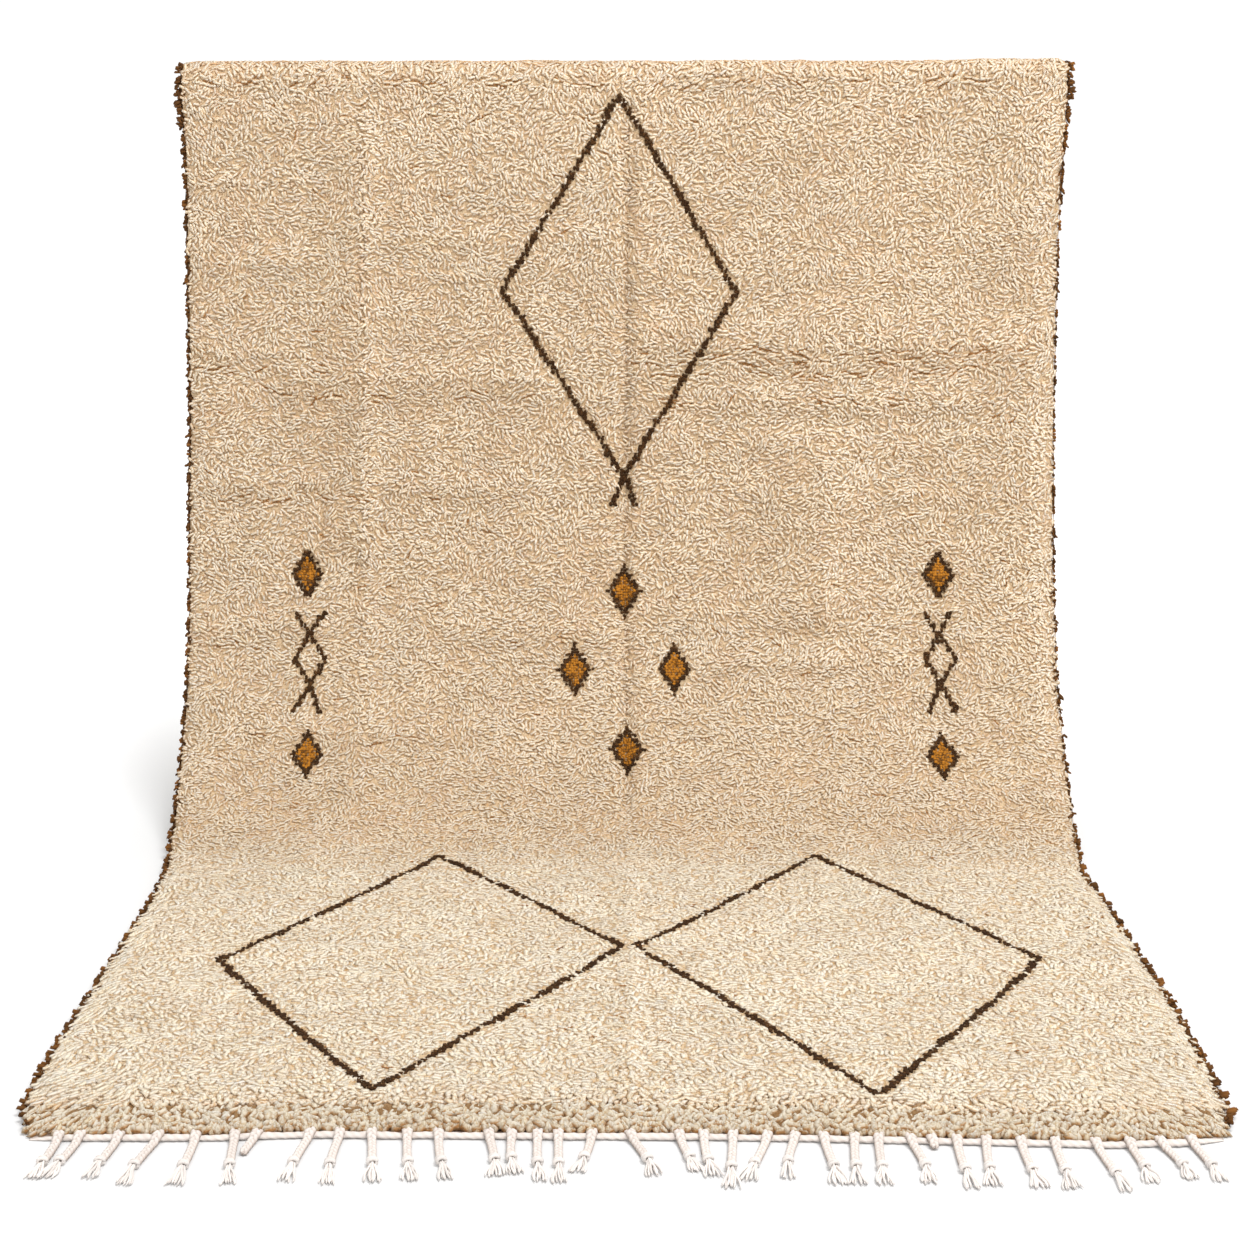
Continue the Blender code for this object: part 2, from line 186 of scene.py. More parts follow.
HEADING_NOISE = 0.46        # how far a tuft strays from its patch's direction, in radians ...
CURL_NOISE = 1.10           # ... and from its bend
REACH_SPREAD = (0.80, 1.18)
LANE_NOISE = (0.07, 0.12)   # how far a tuft strays in its lane, sideways and along, as a share of the pitch
LEAST_RADIUS = 0.008        # no lane of a patch bends more tightly ...
LEAST_USABLE = 0.010        # ... and nearer to the middle of the arcs there are no tufts
WIDEST_TURN = 2.5           # a lane goes round its arc this far at most, in radians
TURNED_PATCHES = (0.04, 1.4)        # between these rows a patch may be combed the other way

# Down, thickness of the yarn, pitch of the tufts beside and behind each other, length of a tuft
PILE_ROWS = np.array((
    (-0.10, 0.0062, 0.0064, 0.0125, 0.0215),
    (0.012, 0.0062, 0.0064, 0.0125, 0.0215),
    (0.035, 0.0050, 0.0051, 0.0110, 0.0152),
    (1.48, 0.0050, 0.0051, 0.0110, 0.0152),
    (1.70, 0.0061, 0.0067, 0.0153, 0.0205),
    (2.44, 0.0062, 0.0068, 0.0153, 0.0205),
    (2.58, 0.0078, 0.0082, 0.0130, 0.0185),
))
# Down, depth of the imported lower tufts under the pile's surface
BED_ROWS = np.array(((-0.10, 0.0034), (1.48, 0.0030), (1.62, 0.0022), (2.52, 0.0022), (2.60, 0.0044),
                     (2.631, 0.0090)))
# Down, painted light and shade in the wool's tone: darker just above the bend, where the rug leaves the
# floor
PAINTED_LIGHT_ROWS = np.array((
    (-0.10, 1.02),
    (0.30, 1.02),
    (0.60, 1.05),
    (0.95, 1.05),
    (1.20, 1.03),
    (1.42, 0.975),
    (1.54, 0.975),
    (1.62, 1.07),
    (2.05, 1.07),
    (2.40, 1.04),
    (2.54, 1.03),
    (2.60, 0.95),
))
TONE_SPREAD = (0.96, 1.03)  # from tuft to tuft
TONE_PATCHES = 0.04         # from patch to patch
WARMTH_SPREAD = 0.03        # from yellowish to greyish tufts
# Painted light and shade across the hanging part
PAINTED_SIDE_LIGHT = 0.018           # the hanging part's right edge is this much lighter, and its left one darker
# Down, how strongly the crevices and the edges of the tufts are shaded
SHADE_ROWS = np.array(((-0.10, 1.00), (1.45, 1.00), (1.65, 0.62), (2.42, 0.62), (2.54, 0.66),
                       (2.60, 1.00)))
# Down, usual direction of the combing and its spread, in radians from across towards down
COMB_ROWS = np.array((
    (-0.10, -1.4, 0.5),
    (0.03, -1.4, 0.6),
    (0.06, 0.9, 1.1),
    (0.40, 0.2, 0.9),
    (1.40, 0.1, 0.7),
    (1.80, 0.8, 1.0),
    (2.50, 0.9, 0.9),
    (2.60, 1.5, 0.5),
))
PILE_PIECES = 5
TUFT_FULLNESS = 1.18        # a three-sided strand is this much wider to look as full as a round one

# Stations along a tuft: share of its reach, share of its height over the bed, share of its radius
TUFT_STATIONS = np.array((
    (0.00, -0.70, 0.00),
    (0.26, 0.62, 1.00),
    (0.84, 1.00, 0.94),
    (1.00, 0.65, 0.00),
))
TUFT_SIDES = 3
# Share of the painted crevice shade at the root, at two rings of underside and two edges, and at the tip
TUFT_SHADES = np.array((0.70, 1.00, 0.16, 0.16, 1.00, 0.10, 0.10, 0.30))

# Stations of the short tufts that fill the holes between the combed ones
FILL_STATIONS = np.array(((0.00, -0.30, 0.00), (0.50, 0.86, 1.00), (1.00, -0.10, 0.00)))
FILL_SHADES = np.array((0.90, 1.00, 0.22, 0.22, 0.90))

# Holes are looked for on a grid of this pitch, with each tuft taking up these stations of its length
HOLE_STEP = 0.0029
HOLE_STATIONS = np.linspace(0.05, 0.95, 8)
FILL_REACH = 0.72           # length of a filling tuft, as a share of a combed one

# The tufts that stand up along the top edge: across, extra height
CREST_TUFTS = np.array(((-0.79, 0.0080), (0.00, 0.0060), (0.79, 0.0040)))

# Near the side edges of the lying part and at the front corners the tufts are combed outwards
OUTWARD_TURN = 0.75
OUTWARD_NOISE = 0.2
# Share, and where it starts and is reached to the side and down: the sides, and the front corners
OUTWARD_AREAS = ((0.8, (0.735, 0.775), (1.55, 1.85)), (1.0, (0.56, 0.74), (2.34, 2.52)))
OUTWARD_STRAIGHT = 0.6      # tufts that are combed outwards lose this share of their bend ...
OUTWARD_LONGER = 0.35       # ... and gain this share of their length

# Cracks where the pile parts: down, from, to, number
CRACK_ROWS = (
    (0.036, -0.78, 0.78, 34),
    (0.100, -0.60, 0.55, 9),
    (0.520, 0.02, 0.74, 24),
    (0.540, 0.02, 0.74, 26),
    (0.562, 0.05, 0.62, 18),
    (0.612, 0.08, 0.52, 13),
    (0.600, -0.66, -0.12, 12),
    (0.548, -0.79, -0.54, 6),
    (0.790, -0.79, -0.15, 10),
    (1.060, -0.79, 0.00, 8),
    (1.250, -0.70, 0.60, 8),
)
SCATTERED_CRACKS = 220
CRACK_REACH = 0.0080        # tufts this near to a crack lie along it
CRACK_GAP = 0.0022          # width of the widest cracks
CRACK_PITCH = 0.0065        # roots darkened as painted shade in a crack: pitch, length and thickness
CRACK_LENGTH = 0.0120
CRACK_YARN = 0.0040
CRACK_RADII = (0.85, 1.10)
CRACK_RISE = (0.0002, 0.0008)       # height of a root over the bed, and its gain at its middle
CRACK_PALEST = 0.45         # share of the painted crack shade in the roots of the weakest cracks
CRACK_COMB = 0.95           # how fully the tufts beside a crack turn along it ...
CRACK_STRAIGHT = 0.8        # ... and lose their bend
CRACK_WANDER = 0.0016       # a crack strays this far from a straight line
CRACK_NEAR = 0.05           # only points this near to a crack's row are tested
CRACK_FADE = 0.006          # past its ends it fades out over this length
# Spread down, half length, spread of the direction and strength of the listed and the scattered cracks
LISTED_CRACKS = (0.005, (0.006, 0.021), 0.26, (0.45, 1.00))
OTHER_CRACKS = ((0.03, 2.50), (0.004, 0.010), 0.80, (0.20, 0.60))

# The thick curled locks of the last rows: place before the front edge, height lost at the tip
LOCK_ROWS = (
    (0.054, 0.00),
    (0.046, 0.00),
    (0.037, 0.00),
    (0.028, 0.00),
    (0.019, 0.00),
    (0.010, 0.04),
    (0.003, 0.16),
    (0.000, 0.32),
    (-0.002, 0.50),
    (-0.003, 0.68),
)
LOCK_PITCH = 0.0100
LOCK_RADIUS = 0.0056
LOCK_OVERHANG = 0.013       # how far they lean out over the band
LOCK_SIDES = 5
LOCK_RADII = (0.80, 1.18)   # their spread of thickness
LOCK_SHADES = np.array((0.00, 0.70, 1.30, 1.30, 0.70))      # from the top round each lock
LOCK_END_SHADES = (0.90, 0.45)      # at the root and at the tip
LOCK_FALL_SHADE = 0.25      # a lock that hangs over the band is more shaded
LOCK_FALLS = np.array((0.3, 0.7, 1.0, 1.0))     # share of the height that is lost, by station
LOCK_DROOP = 0.30           # height lost where a lock leans out over the band
LOCK_OUTWARD_NOISE = 0.25
# Painted shade: the locks are darker than the pile
LOCK_SHADE_TONE = 0.87
LOCK_LIT_WIDTH = 0.80       # the shaded edges of a lock lie this much further out than a tuft's
LOCK_SPREAD_DOWN = 0.0035
LOCK_HEADING_NOISE = 0.9
LOCK_CURL_NOISE = 0.8
LOCK_REACH = (0.016, 0.024)
LOCK_SINK = 0.0042          # the lowest lock lies this much lower than the highest one
LOCK_MARGIN = 0.002         # the first lock is this far inside the edge
LOCK_SPILL = 0.010          # the outer locks reach this far past the edge
LAST_TUFT = FRONT_EDGE - LOCK_ROWS[0][0] + 0.004       # the combed tufts end where the locks begin

# Stations of an upright tuft of the motifs, cut short
STUB_STATIONS = np.array((
    (0.00, -0.60, 0.00),
    (0.25, 0.80, 1.00),
    (0.75, 1.00, 0.95),
    (1.00, 0.80, 0.00),
))

# ---------------------------------------------------------------- the motifs

KNOT_COLOURS = ("brown", "outline", "ochre")
KNOT_ACROSS = 0.0064        # one knot of the chart
KNOT_DOWN = 0.0076
CELL_ACROSS = 0.0046        # one knot of the filled diamonds, which are knotted more finely
CELL_DOWN = 0.0050
STUB_RADIUS = 0.0028
STUB_RADII = (0.85, 1.20)
STUB_UNEVEN = (-0.25, 0.20)         # unevenness of their height, as shares of the pile's depth
STUB_PITCH = 0.0052         # tufts beside each other in a wide knot
STUB_ROWS = (-0.18, 0.18)   # the two rows of tufts of a knot, as shares of its length
STUB_SPREAD = 0.0007
STUB_REACH = (0.0055, 0.0085)
STUB_SINK = 0.0012          # the motifs lie this much lower than the pile
STUB_ROOT_SHADES = np.array((0.6, 0.25, 0.0, 0.0))[None, :, None]     # painted shade: how dark each station is, darkest at the root
LINE_WANDER = 0.0012        # a line of a motif strays this far
ROW_WIDTHS = (0.75, 1.15)   # a line is narrower in even rows and wider in odd ones
HANGING_CLUMPING = 0.12     # unevenness of a line's width on the hanging part ...
LYING_CLUMPING = 0.38       # ... and on the lying one
LOOSE_KNOTS = 0.08          # chance of a loose knot beside a line ...
LOOSE_AT = 0.6              # ... how far beside its middle it is, and how wide, as shares of its width
LOOSE_WIDTH = 0.4
STEP_LIMITS = (1.07, 0.95)  # the outline of a filled diamond is stepped: its reach in even and odd rows
MASK_STEP = 0.001           # grid of the map of the motifs

# The knots of the motifs on the back: share of the width, how far the bead stands out, radius
BACK_STATIONS = np.array(((0.00, 0.00, 0.00), (0.50, 1.00, 1.00), (1.00, 0.00, 0.00)))
BACK_DEPTH = 0.0014         # depth of the middle of a bead inside the back
BACK_RAISE = 0.0008
BACK_WIDER = 0.0050         # a bead is this much wider than its knot
BACK_RADII = (0.0040, 0.0046)
BACK_VALLEY = (0.0024, 0.014)       # extra height over the middle fold, and how far it reaches
BACK_SHOWS_TO = 1.46        # further down the back lies on the floor

# Corners of the outlined motifs, each a run of (across, down) with the width of its line
OUTLINES = (
    (0.0110, ((-0.0185, 0.805), (0.004, 0.746), (0.208, 0.411), (-0.009, 0.059),
              (-0.219, 0.408), (0.004, 0.746), (0.0305, 0.805))),
    (0.0110, ((-0.009, 1.997), (-0.3207, 1.553), (-0.6275, 2.053), (-0.339, 2.543), (-0.009, 1.997))),
    (0.0110, ((0.0134, 1.997), (0.336, 1.553), (0.6328, 2.040), (0.336, 2.543), (0.0134, 1.997))),
)

# Crossed zigzags of the two side columns: middle across, and the rows of (left, right, down)
ZIGZAG_ROWS = (
    (-0.0270, 0.0270, 0.998),
    (-0.0005, -0.0005, 1.042),
    (-0.0255, 0.0305, 1.090),
    (0.0018, 0.0018, 1.138),
    (-0.0270, 0.0240, 1.198),
)
ZIGZAG_MIDDLES = (-0.5705, 0.578)
ZIGZAG_WIDTH = 0.0086

# Filled diamonds: across, down, half width, half height
FILLED = (
    (-0.5755, 0.928, 0.029, 0.046),
    (-0.5660, 1.283, 0.029, 0.049),
    (0.5795, 0.930, 0.029, 0.046),
    (0.5720, 1.288, 0.029, 0.049),
    (0.0045, 0.960, 0.0305, 0.049),
    (-0.0865, 1.111, 0.0305, 0.049),
    (0.0945, 1.109, 0.0290, 0.049),
    (0.0075, 1.271, 0.0305, 0.049),
)
FILLED_CORE = 0.69          # inside this share of a filled diamond the wool is ochre

# ---------------------------------------------------------------- the side edges

TUFT_PITCH = 0.046          # the clusters of wool along an edge, as in the part's source
TUFT_LENGTH = 0.018
EDGE_YARN = 0.0056
CORE_PITCH = 0.0040         # tufts that lie along the edge and cover it
CORD_RADIUS = 0.0030
CORD_STEP = 0.005
CORD_SIDES = 5
CORD_OUTSET = 0.0030
CORD_HEIGHT = 0.0055
CORD_THINNING = 0.45        # where the cotton shows the cord is thinner by this share
EDGE_SIDES = 4
EDGE_CLEAR = 0.004          # least height of an edge tuft over the back
EDGE_STATIONS = np.array(((0.0, 0.0, 0.0), (0.30, 0.85, 1.0), (0.80, 1.0, 0.95), (1.0, 0.80, 0.0)))
RUST_POWER = 1.3            # most tufts are more brown than rust
RUST_SPREAD = (0.4, 1.0)
EDGE_RUST = np.array((0.3, 0.7, 1.0, 1.1))[:, None]    # how rusty each station is
BUNCH_CROWNS = (0.007, 0.0145)
CORE_CROWNS = (0.006, 0.0165)
CORE_REACH = (0.008, 0.014)
CORE_TURN_NOISE = 0.45
CORE_OUTSETS = (0.0034, 0.006)      # largest outset, and what comes to it near the top edge
# Small bunches between the large ones: their spread along the edge and their size
BETWEEN_BUNCHES = (0.006, 0.72)
BUNCH_TUFTS = 7
BUNCH_NOISE = 0.28
CORE_RUST = {-1: (0.0, 0.45), 1: (0.1, 0.95)}          # by side
# Down, how much of the edge the tufts that lie along it cover, at the left and the right edge
COVER_ROWS = np.array((
    (0.00, 1.00, 0.90),
    (0.16, 1.00, 0.75),
    (0.28, 0.95, 0.30),
    (1.00, 0.92, 0.32),
    (1.40, 0.90, 0.60),
    (2.20, 0.80, 0.75),
    (2.63, 0.50, 0.50),
))
# Down, how full the tufts of the left and the right edge are
FULL_ROWS = np.array((
    (0.00, 1.00, 1.00),
    (0.05, 1.00, 1.00),
    (0.08, 0.95, 0.72),
    (0.26, 0.90, 0.60),
    (0.32, 0.85, 0.60),
    (1.40, 0.85, 0.62),
    (1.62, 0.95, 0.90),
    (2.64, 1.00, 1.00),
))

# ---------------------------------------------------------------- the fringe

# Across, lean to the right in degrees, length, kind
FRINGE_ROWS = (
    (-0.744, -5, 0.118, "braid"),
    (-0.717, -10, 0.115, "braid"),
    (-0.666, -8, 0.117, "braid"),
    (-0.614, -9, 0.135, "braid"),
    (-0.565, -2, 0.135, "braid"),
    (-0.514, 5, 0.136, "braid"),
    (-0.486, -11, 0.055, "stub"),
    (-0.416, -6, 0.135, "braid"),
    (-0.377, 0, 0.140, "braid"),
    (-0.335, 6, 0.134, "braid"),
    (-0.288, 7, 0.131, "braid"),
    (-0.247, 9, 0.126, "braid"),
    (-0.181, 7, 0.116, "braid"),
    (-0.151, 5, 0.108, "braid"),
    (-0.117, 3, 0.130, "braid"),
    (-0.090, 2, 0.133, "braid"),
    (-0.046, -10, 0.104, "braid"),
    (0.005, 16, 0.115, "braid"),
    (0.069, 12, 0.102, "braid"),
    (0.101, 5, 0.114, "braid"),
    (0.139, -4, 0.145, "braid"),
    (0.184, -16, 0.128, "braid"),
    (0.220, -8, 0.115, "braid"),
    (0.258, 5, 0.130, "braid"),
    (0.298, -2, 0.128, "braid"),
    (0.329, -1, 0.128, "braid"),
    (0.371, 5, 0.121, "braid"),
    (0.398, 0, 0.022, "stub"),
    (0.431, 2, 0.133, "braid"),
    (0.469, -3, 0.124, "braid"),
    (0.514, 3, 0.127, "braid"),
    (0.558, 1, 0.127, "braid"),
    (0.611, 7, 0.133, "braid"),
    (0.655, 4, 0.109, "braid"),
    (0.696, 10, 0.102, "braid"),
    (0.737, 7, 0.113, "braid"),
)
KNOT_AT = 0.60              # place of the knot, as a share of the strand's length
PLY_SIDES = 6
PLY_SHADE_TONES = np.array((0.42, 0.52, 0.88, 1.00, 0.88, 0.52))      # painted shade, from the underside round each ply
COTTON_WARMTH = np.array((0.80, 1.00, 1.15))                    # shaded cotton is a little warmer
PLY_RADIUS = 0.0027
PLY_SWING = 0.0034          # sideways swing of each ply of a braid ...
PLY_LIFT = 0.0016           # ... and its rise and fall
BRAID_CYCLE = 0.026         # length in which a ply comes back to its side
BRAID_STEP = 0.0036
BRAID_START_WIDE = 0.25     # a braid is this much wider at the band ...
BRAID_END_SLIM = 0.35       # ... and this much slimmer at its knot
BRAID_HEIGHT_SHADES = (0.66, 0.34)   # painted shade: tone of a ply at its lowest place, and its gain at its highest
KNOT_RADIUS = 0.0052
KNOT_YARN = 0.0025
KNOT_TURNS = ((-0.0022, 0.5), (0.0022, -0.4))          # place along the strand and slant of each turn
KNOT_FLATNESS = 0.78
KNOT_TONE = (0.88, 1.00)
TASSEL_SIDES = 5
TASSEL_REACH = (0.86, 1.03)         # where its yarns end, as a share of its length
TASSEL_TONE = (0.90, 1.08)
TASSEL_SPREAD = (0.0018, 0.0085)    # half the width of a tassel at the knot, and how much it grows
STRAND_START = -0.0095      # the strands start this far inside the band's front edge
STRAND_LIFT = 0.0050        # and this high, and come down to the floor over this length
STRAND_FALL = 0.018
TASSEL_YARNS = 10
TASSEL_YARN_RADIUS = 0.0016
BAND_MIDDLE = 0.0188        # middle of the band's rolled edge, past the pile
ROLL_HALF_WIDTH = 0.0066
ROLL_HALF_HEIGHT = 0.0034
ROLL_TWIST = 0.013          # length of one turn
ROLL_RIPPLE = 0.06          # how far the turns and the roughness of the yarn change its thickness
ROLL_ROUGHNESS = 0.03
ROLL_TONES = (0.88, 0.07)   # its tone, and how much that changes over a turn
BAND_STEP = 0.003
ROLL_SWELLS = ((0.10, 0.020, 31), (0.12, 0.07, 32))     # share, size along the band and seed of its lumps
ROLL_WANDER = 0.0012        # the roll strays this far forwards and back
ROLL_SLIP = 1.6             # unevenness of its twist, in radians
# The flat part of the band at its back, in its groove and under it: distance past the pile, height, tone
# Their low tones are painted shade beneath the locks, in the groove and under the roll
BAND_BACK = (-0.004, 0.0040, 0.20)
BAND_GROOVE = (BAND_MIDDLE - ROLL_HALF_WIDTH - 0.0015, 0.0022, 0.30)
BAND_UNDER = (-0.004, 0.0008, 0.50)

# ---------------------------------------------------------------- colours, linear

CREAM = np.array((0.750, 0.690, 0.568))
# Painted shade, darker and warmer than the cream: on the roots of the bed, under the front locks, in
# crevices and cracks
BED = np.array((0.620, 0.460, 0.290))
FRONT_BED_SHADE = np.array((0.250, 0.145, 0.065))
CREVICE_SHADE = np.array((0.560, 0.290, 0.108))
LOCK_CREVICE_SHADE = np.array((0.370, 0.215, 0.088))
CRACK_SHADE = np.array((0.340, 0.165, 0.056))
DARK_BROWN = np.array((0.042, 0.018, 0.006))
MID_BROWN = np.array((0.105, 0.046, 0.014))
RUST = np.array((0.270, 0.105, 0.022))
OCHRE = np.array((0.520, 0.205, 0.022))
OCHRE_DARK = np.array((0.115, 0.043, 0.008))
COTTON = np.array((0.755, 0.700, 0.660))

BACK_WOOL = np.array((0.770, 0.655, 0.495))
BACK_WEFT = (0.62, 0.59, 0.56)
BACK_KNOT_TONES = ((0.86, 0.83, 0.78), (1.10, 1.09, 1.07))

# ---------------------------------------------------------------- materials

FIBRE_SPECULAR = 0.15
SHEEN_ROUGHNESS = 0.55
STRAND_FIBRES = (2.4, 120.0, 1.0)     # scale of the fibre noise beside, along and between strands
WIDE_SCALE = 9.0            # wide unevenness of the colour, a metre, and its contrast
WIDE_CONTRAST = 0.05
CREASE_SCALE = (190.0, 80.0, 230.0)   # creases a metre, the most up the hanging part
CREASE_WIDTH = 0.040        # half the width of a crease, as a part of the noise that it follows
# Tone of the painted shade in the creases
CREASE_SHADE_TONE = (0.95, 0.76, 0.53)
CREASE_BUMP = 0.0008
EDGE_FROM = 0.40            # a strand is shaded from this share of its half width ...
EDGE_TO = 0.88              # ... to its edge
EDGE_TONE = (0.98, 0.69, 0.40)
BACK_KNOT = 0.0046          # width of a knot as it shows on the back
BACK_ROW = 0.0070           # pitch of the rows of knots
BACK_GAP = 0.0011           # half the width of the weft between them
BACK_RELIEF = 0.0018
BACK_WANDER = 0.0030        # the knots on the back stray this far from even rows
BACK_WANDER_SCALE = 160.0

# ---------------------------------------------------------------- floor, light and camera

IMAGE_SIDE = 1254           # pixels
FOCAL_PIXELS = 2450.0
SENSOR = 36.0
CAMERA_PLACE = (0.0046, -3.658, 1.333)
CAMERA_PITCH = math.radians(12.85)
WHITE = (1.0, 1.0, 1.0, 1.0)
FLOOR_ALBEDO = 0.68
FLOOR_ROUGHNESS = 0.9
NEAR_GLOW = 0.04
FAR_GLOW = 0.45
GLOW_FROM = 0.95            # metres from the middle of the rug
GLOW_TO = 1.90
AMBIENT = 0.995
KEY_PLACE = (1.8, -2.7, 6.0)
KEY_TARGET = (0.0, -0.1, 0.5)
KEY_SIZE = 3.0
KEY_POWER = 345.0
FLOOR_SIDE = 120.0
FLOOR_DROP = 0.0004         # keeps the floor clear of the cloth's underside
DOME_RADIUS = 58.0
DOME_GLOW = 1.05


# ================================================================ the rug's surface

def ease(value, low, high):
    """Smooth change from 0 at low to 1 at high."""
    share = np.clip((value - low) / (high - low), 0.0, 1.0)
    return share * share * (3.0 - 2.0 * share)


def mix(first, second, share):
    """The first value where the share is 0, and the second where it is 1."""
    return first * (1.0 - share) + second * share


def look_up(rows, spot, column=1):
    """Value of a table's column, where its first column lists the places."""
    return np.interp(spot, rows[:, 0], rows[:, column])


def run_angle(down):
    """Direction of the run of the cloth: 0 straight down, 90 degrees straight forward."""
    turned = np.clip((CREST_START - down) / (CREST_RADIUS * CREST_TURN), 0.0, 1.0)
    bent = np.clip((down - BEND_START) / (BEND_END - BEND_START), 0.0, 1.0)
    return LEAN + CREST_TURN * turned + (math.pi / 2 - LEAN) * bent ** BEND_POWER


def build_section():
    """Down, distance behind the front edge and height along the cloth, from the top end."""
    steps = round((FRONT_EDGE - TOP_END) / SECTION_STEP)
    step = (FRONT_EDGE - TOP_END) / steps
    down = FRONT_EDGE - step * np.arange(steps + 1)
    angle = run_angle(down[:-1] - step / 2)
    behind = np.concatenate(([0.0], np.cumsum(step * np.sin(angle))))
    height = np.concatenate(([0.0], np.cumsum(step * np.cos(angle))))
    return down[::-1], behind[::-1], height[::-1]


SECTION = build_section()
RAW_RIGHT = 0.7935          # right edge at the widest row of the solid, before it was centred
BODY_LOW, BODY_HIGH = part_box("rug_body")
SHIFT = np.array((BODY_HIGH.x - RAW_RIGHT, BODY_LOW.y + FRONT_ROWS[:, 1].max(), 0.0))


def fold_shape(distance, before, after):
    """Crisp ridge of height 1, gone at the given distances before and after its line."""
    share = np.clip(np.where(distance < 0.0, -distance / before, distance / after), 0.0, 1.0)
    return (1.0 - share) ** 2 * (1.0 + share)


def fold_reach(value, start, end):
    """1 between the ends of a fold, which fades out at both."""
    return ease(value, start, start + FOLD_FADE) * (1.0 - ease(value, end - FOLD_FADE, end))


def fold_height(across, down):
    """How far the storage folds lift the cloth towards the pile side."""
    total = np.zeros(np.broadcast(across, down).shape)
    for folds, beside, along in ((DOWN_FOLDS, across, down), (ACROSS_FOLDS, down, across)):
        for line, start, end, before, after, height in folds:
            total += height * fold_reach(along, start, end) * fold_shape(beside - line, before, after)
    return total


def back_rise(across, down):
    """The back follows the folds where the cloth hangs and is flat where it lies."""
    return fold_height(across, down) * (1.0 - ease(down, STIFF_FROM, STIFF_TO))


def painted_fold_shading(across, down):
    """Painted light and shade on the faces of the folds, darker in the middle valley."""
    sideways = fold_height(across + SLOPE_STEP, down) - fold_height(across - SLOPE_STEP, down)
    along = fold_height(across, down + SLOPE_STEP) - fold_height(across, down - SLOPE_STEP)
    change = (FOLD_SHADING_SIDEWAYS * sideways + FOLD_SHADING_DOWN * along) / (2.0 * SLOPE_STEP)
    line, start, end, before, after, _ = DOWN_FOLDS[0]
    valley = fold_reach(down, start, end) * fold_shape(across - line, before, after)
    return 1.0 + np.clip(change, -FOLD_SHADING_LIMIT, FOLD_SHADING_LIMIT) * (1.0 - valley) - VALLEY_SHADE * valley


def soft_noise(across, down, size_across, size_down, seed):
    """Smooth noise from -1 to 1 with lumps of about the given size."""
    grid = np.random.default_rng(seed).uniform(-1.0, 1.0, (NOISE_CELLS, NOISE_CELLS))
    u = across / size_across + 41.7
    v = down / size_down + 13.3
    left = np.floor(u).astype(int)
    top = np.floor(v).astype(int)
    fu = u - left
    fv = v - top
    fu = fu * fu * (3.0 - 2.0 * fu)
    fv = fv * fv * (3.0 - 2.0 * fv)
    column = left % NOISE_CELLS
    row = top % NOISE_CELLS
    next_column = (column + 1) % NOISE_CELLS
    next_row = (row + 1) % NOISE_CELLS
    upper = mix(grid[row, column], grid[row, next_column], fu)
    lower = mix(grid[next_row, column], grid[next_row, next_column], fu)
    return mix(upper, lower, fv)


def crest_lift(across, down):
    """Extra height of the pile along the top edge."""
    return (1.0 - ease(down, 0.002, 0.030)) * look_up(CREST_TUFTS, across)


def pile_rise(across, down):
    """Top of the pile: its thickness, the folds and its lumps, lower at the side edges."""
    rim = np.where(across < 0.0, *RIM_SINKS) * (1.0 - ease(HALF_WIDTH - np.abs(across), 0.0, RIM_WIDTH))
    lump = sum(height * soft_noise(across, down, *size_and_seed) for height, *size_and_seed in LUMPS)
    lump = lump * (1.0 + FRONT_LUMPS * ease(down, FRONT_EDGE - FRONT_LUMPS_FROM, FRONT_EDGE))
    return RUG_THICKNESS - PILE_CLEAR - rim + fold_height(across, down) + crest_lift(across, down) + lump


def bed_rise(across, down):
    """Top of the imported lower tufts."""
    depth = look_up(BED_ROWS, down)
    return pile_rise(np.clip(across, -HALF_WIDTH, HALF_WIDTH), down) - depth


def place(across, down, rise):
    """Points in the room of points of the flat cloth."""
    angle = run_angle(down)
    end_angle = run_angle(TOP_END)
    before = np.maximum(TOP_END - down, 0.0)
    past = np.maximum(down - FRONT_EDGE, 0.0)
    behind = np.interp(down, SECTION[0], SECTION[1]) + before * np.sin(end_angle) - past
    height = np.interp(down, SECTION[0], SECTION[2]) + before * np.cos(end_angle)
    left = look_up(EDGE_ROWS, down)
    right = look_up(EDGE_ROWS, down, 2)
    share = (across + HALF_WIDTH) / (2.0 * HALF_WIDTH)
    lying = ease(down, BEND_END, FRONT_EDGE)
    hanging = 1.0 - ease(down, 0.0, BEND_START)
    x = left + share * (right - left)
    y = behind - rise * np.cos(angle) - lying * look_up(FRONT_ROWS, across)
    z = height + rise * np.sin(angle) + hanging * look_up(TOP_ROWS, across)
    return np.stack(np.broadcast_arrays(x, y, z), axis=-1) + SHIFT


def run_direction(down):
    """Unit vector down the cloth, in the room."""
    angle = run_angle(down)
    return np.stack((np.zeros_like(angle), -np.sin(angle), -np.cos(angle)), axis=-1)


# ================================================================ meshes from arrays

def unit(vectors):
    """The vectors, each with a length of 1."""
    return vectors / np.maximum(np.linalg.norm(vectors, axis=-1, keepdims=True), 1e-12)


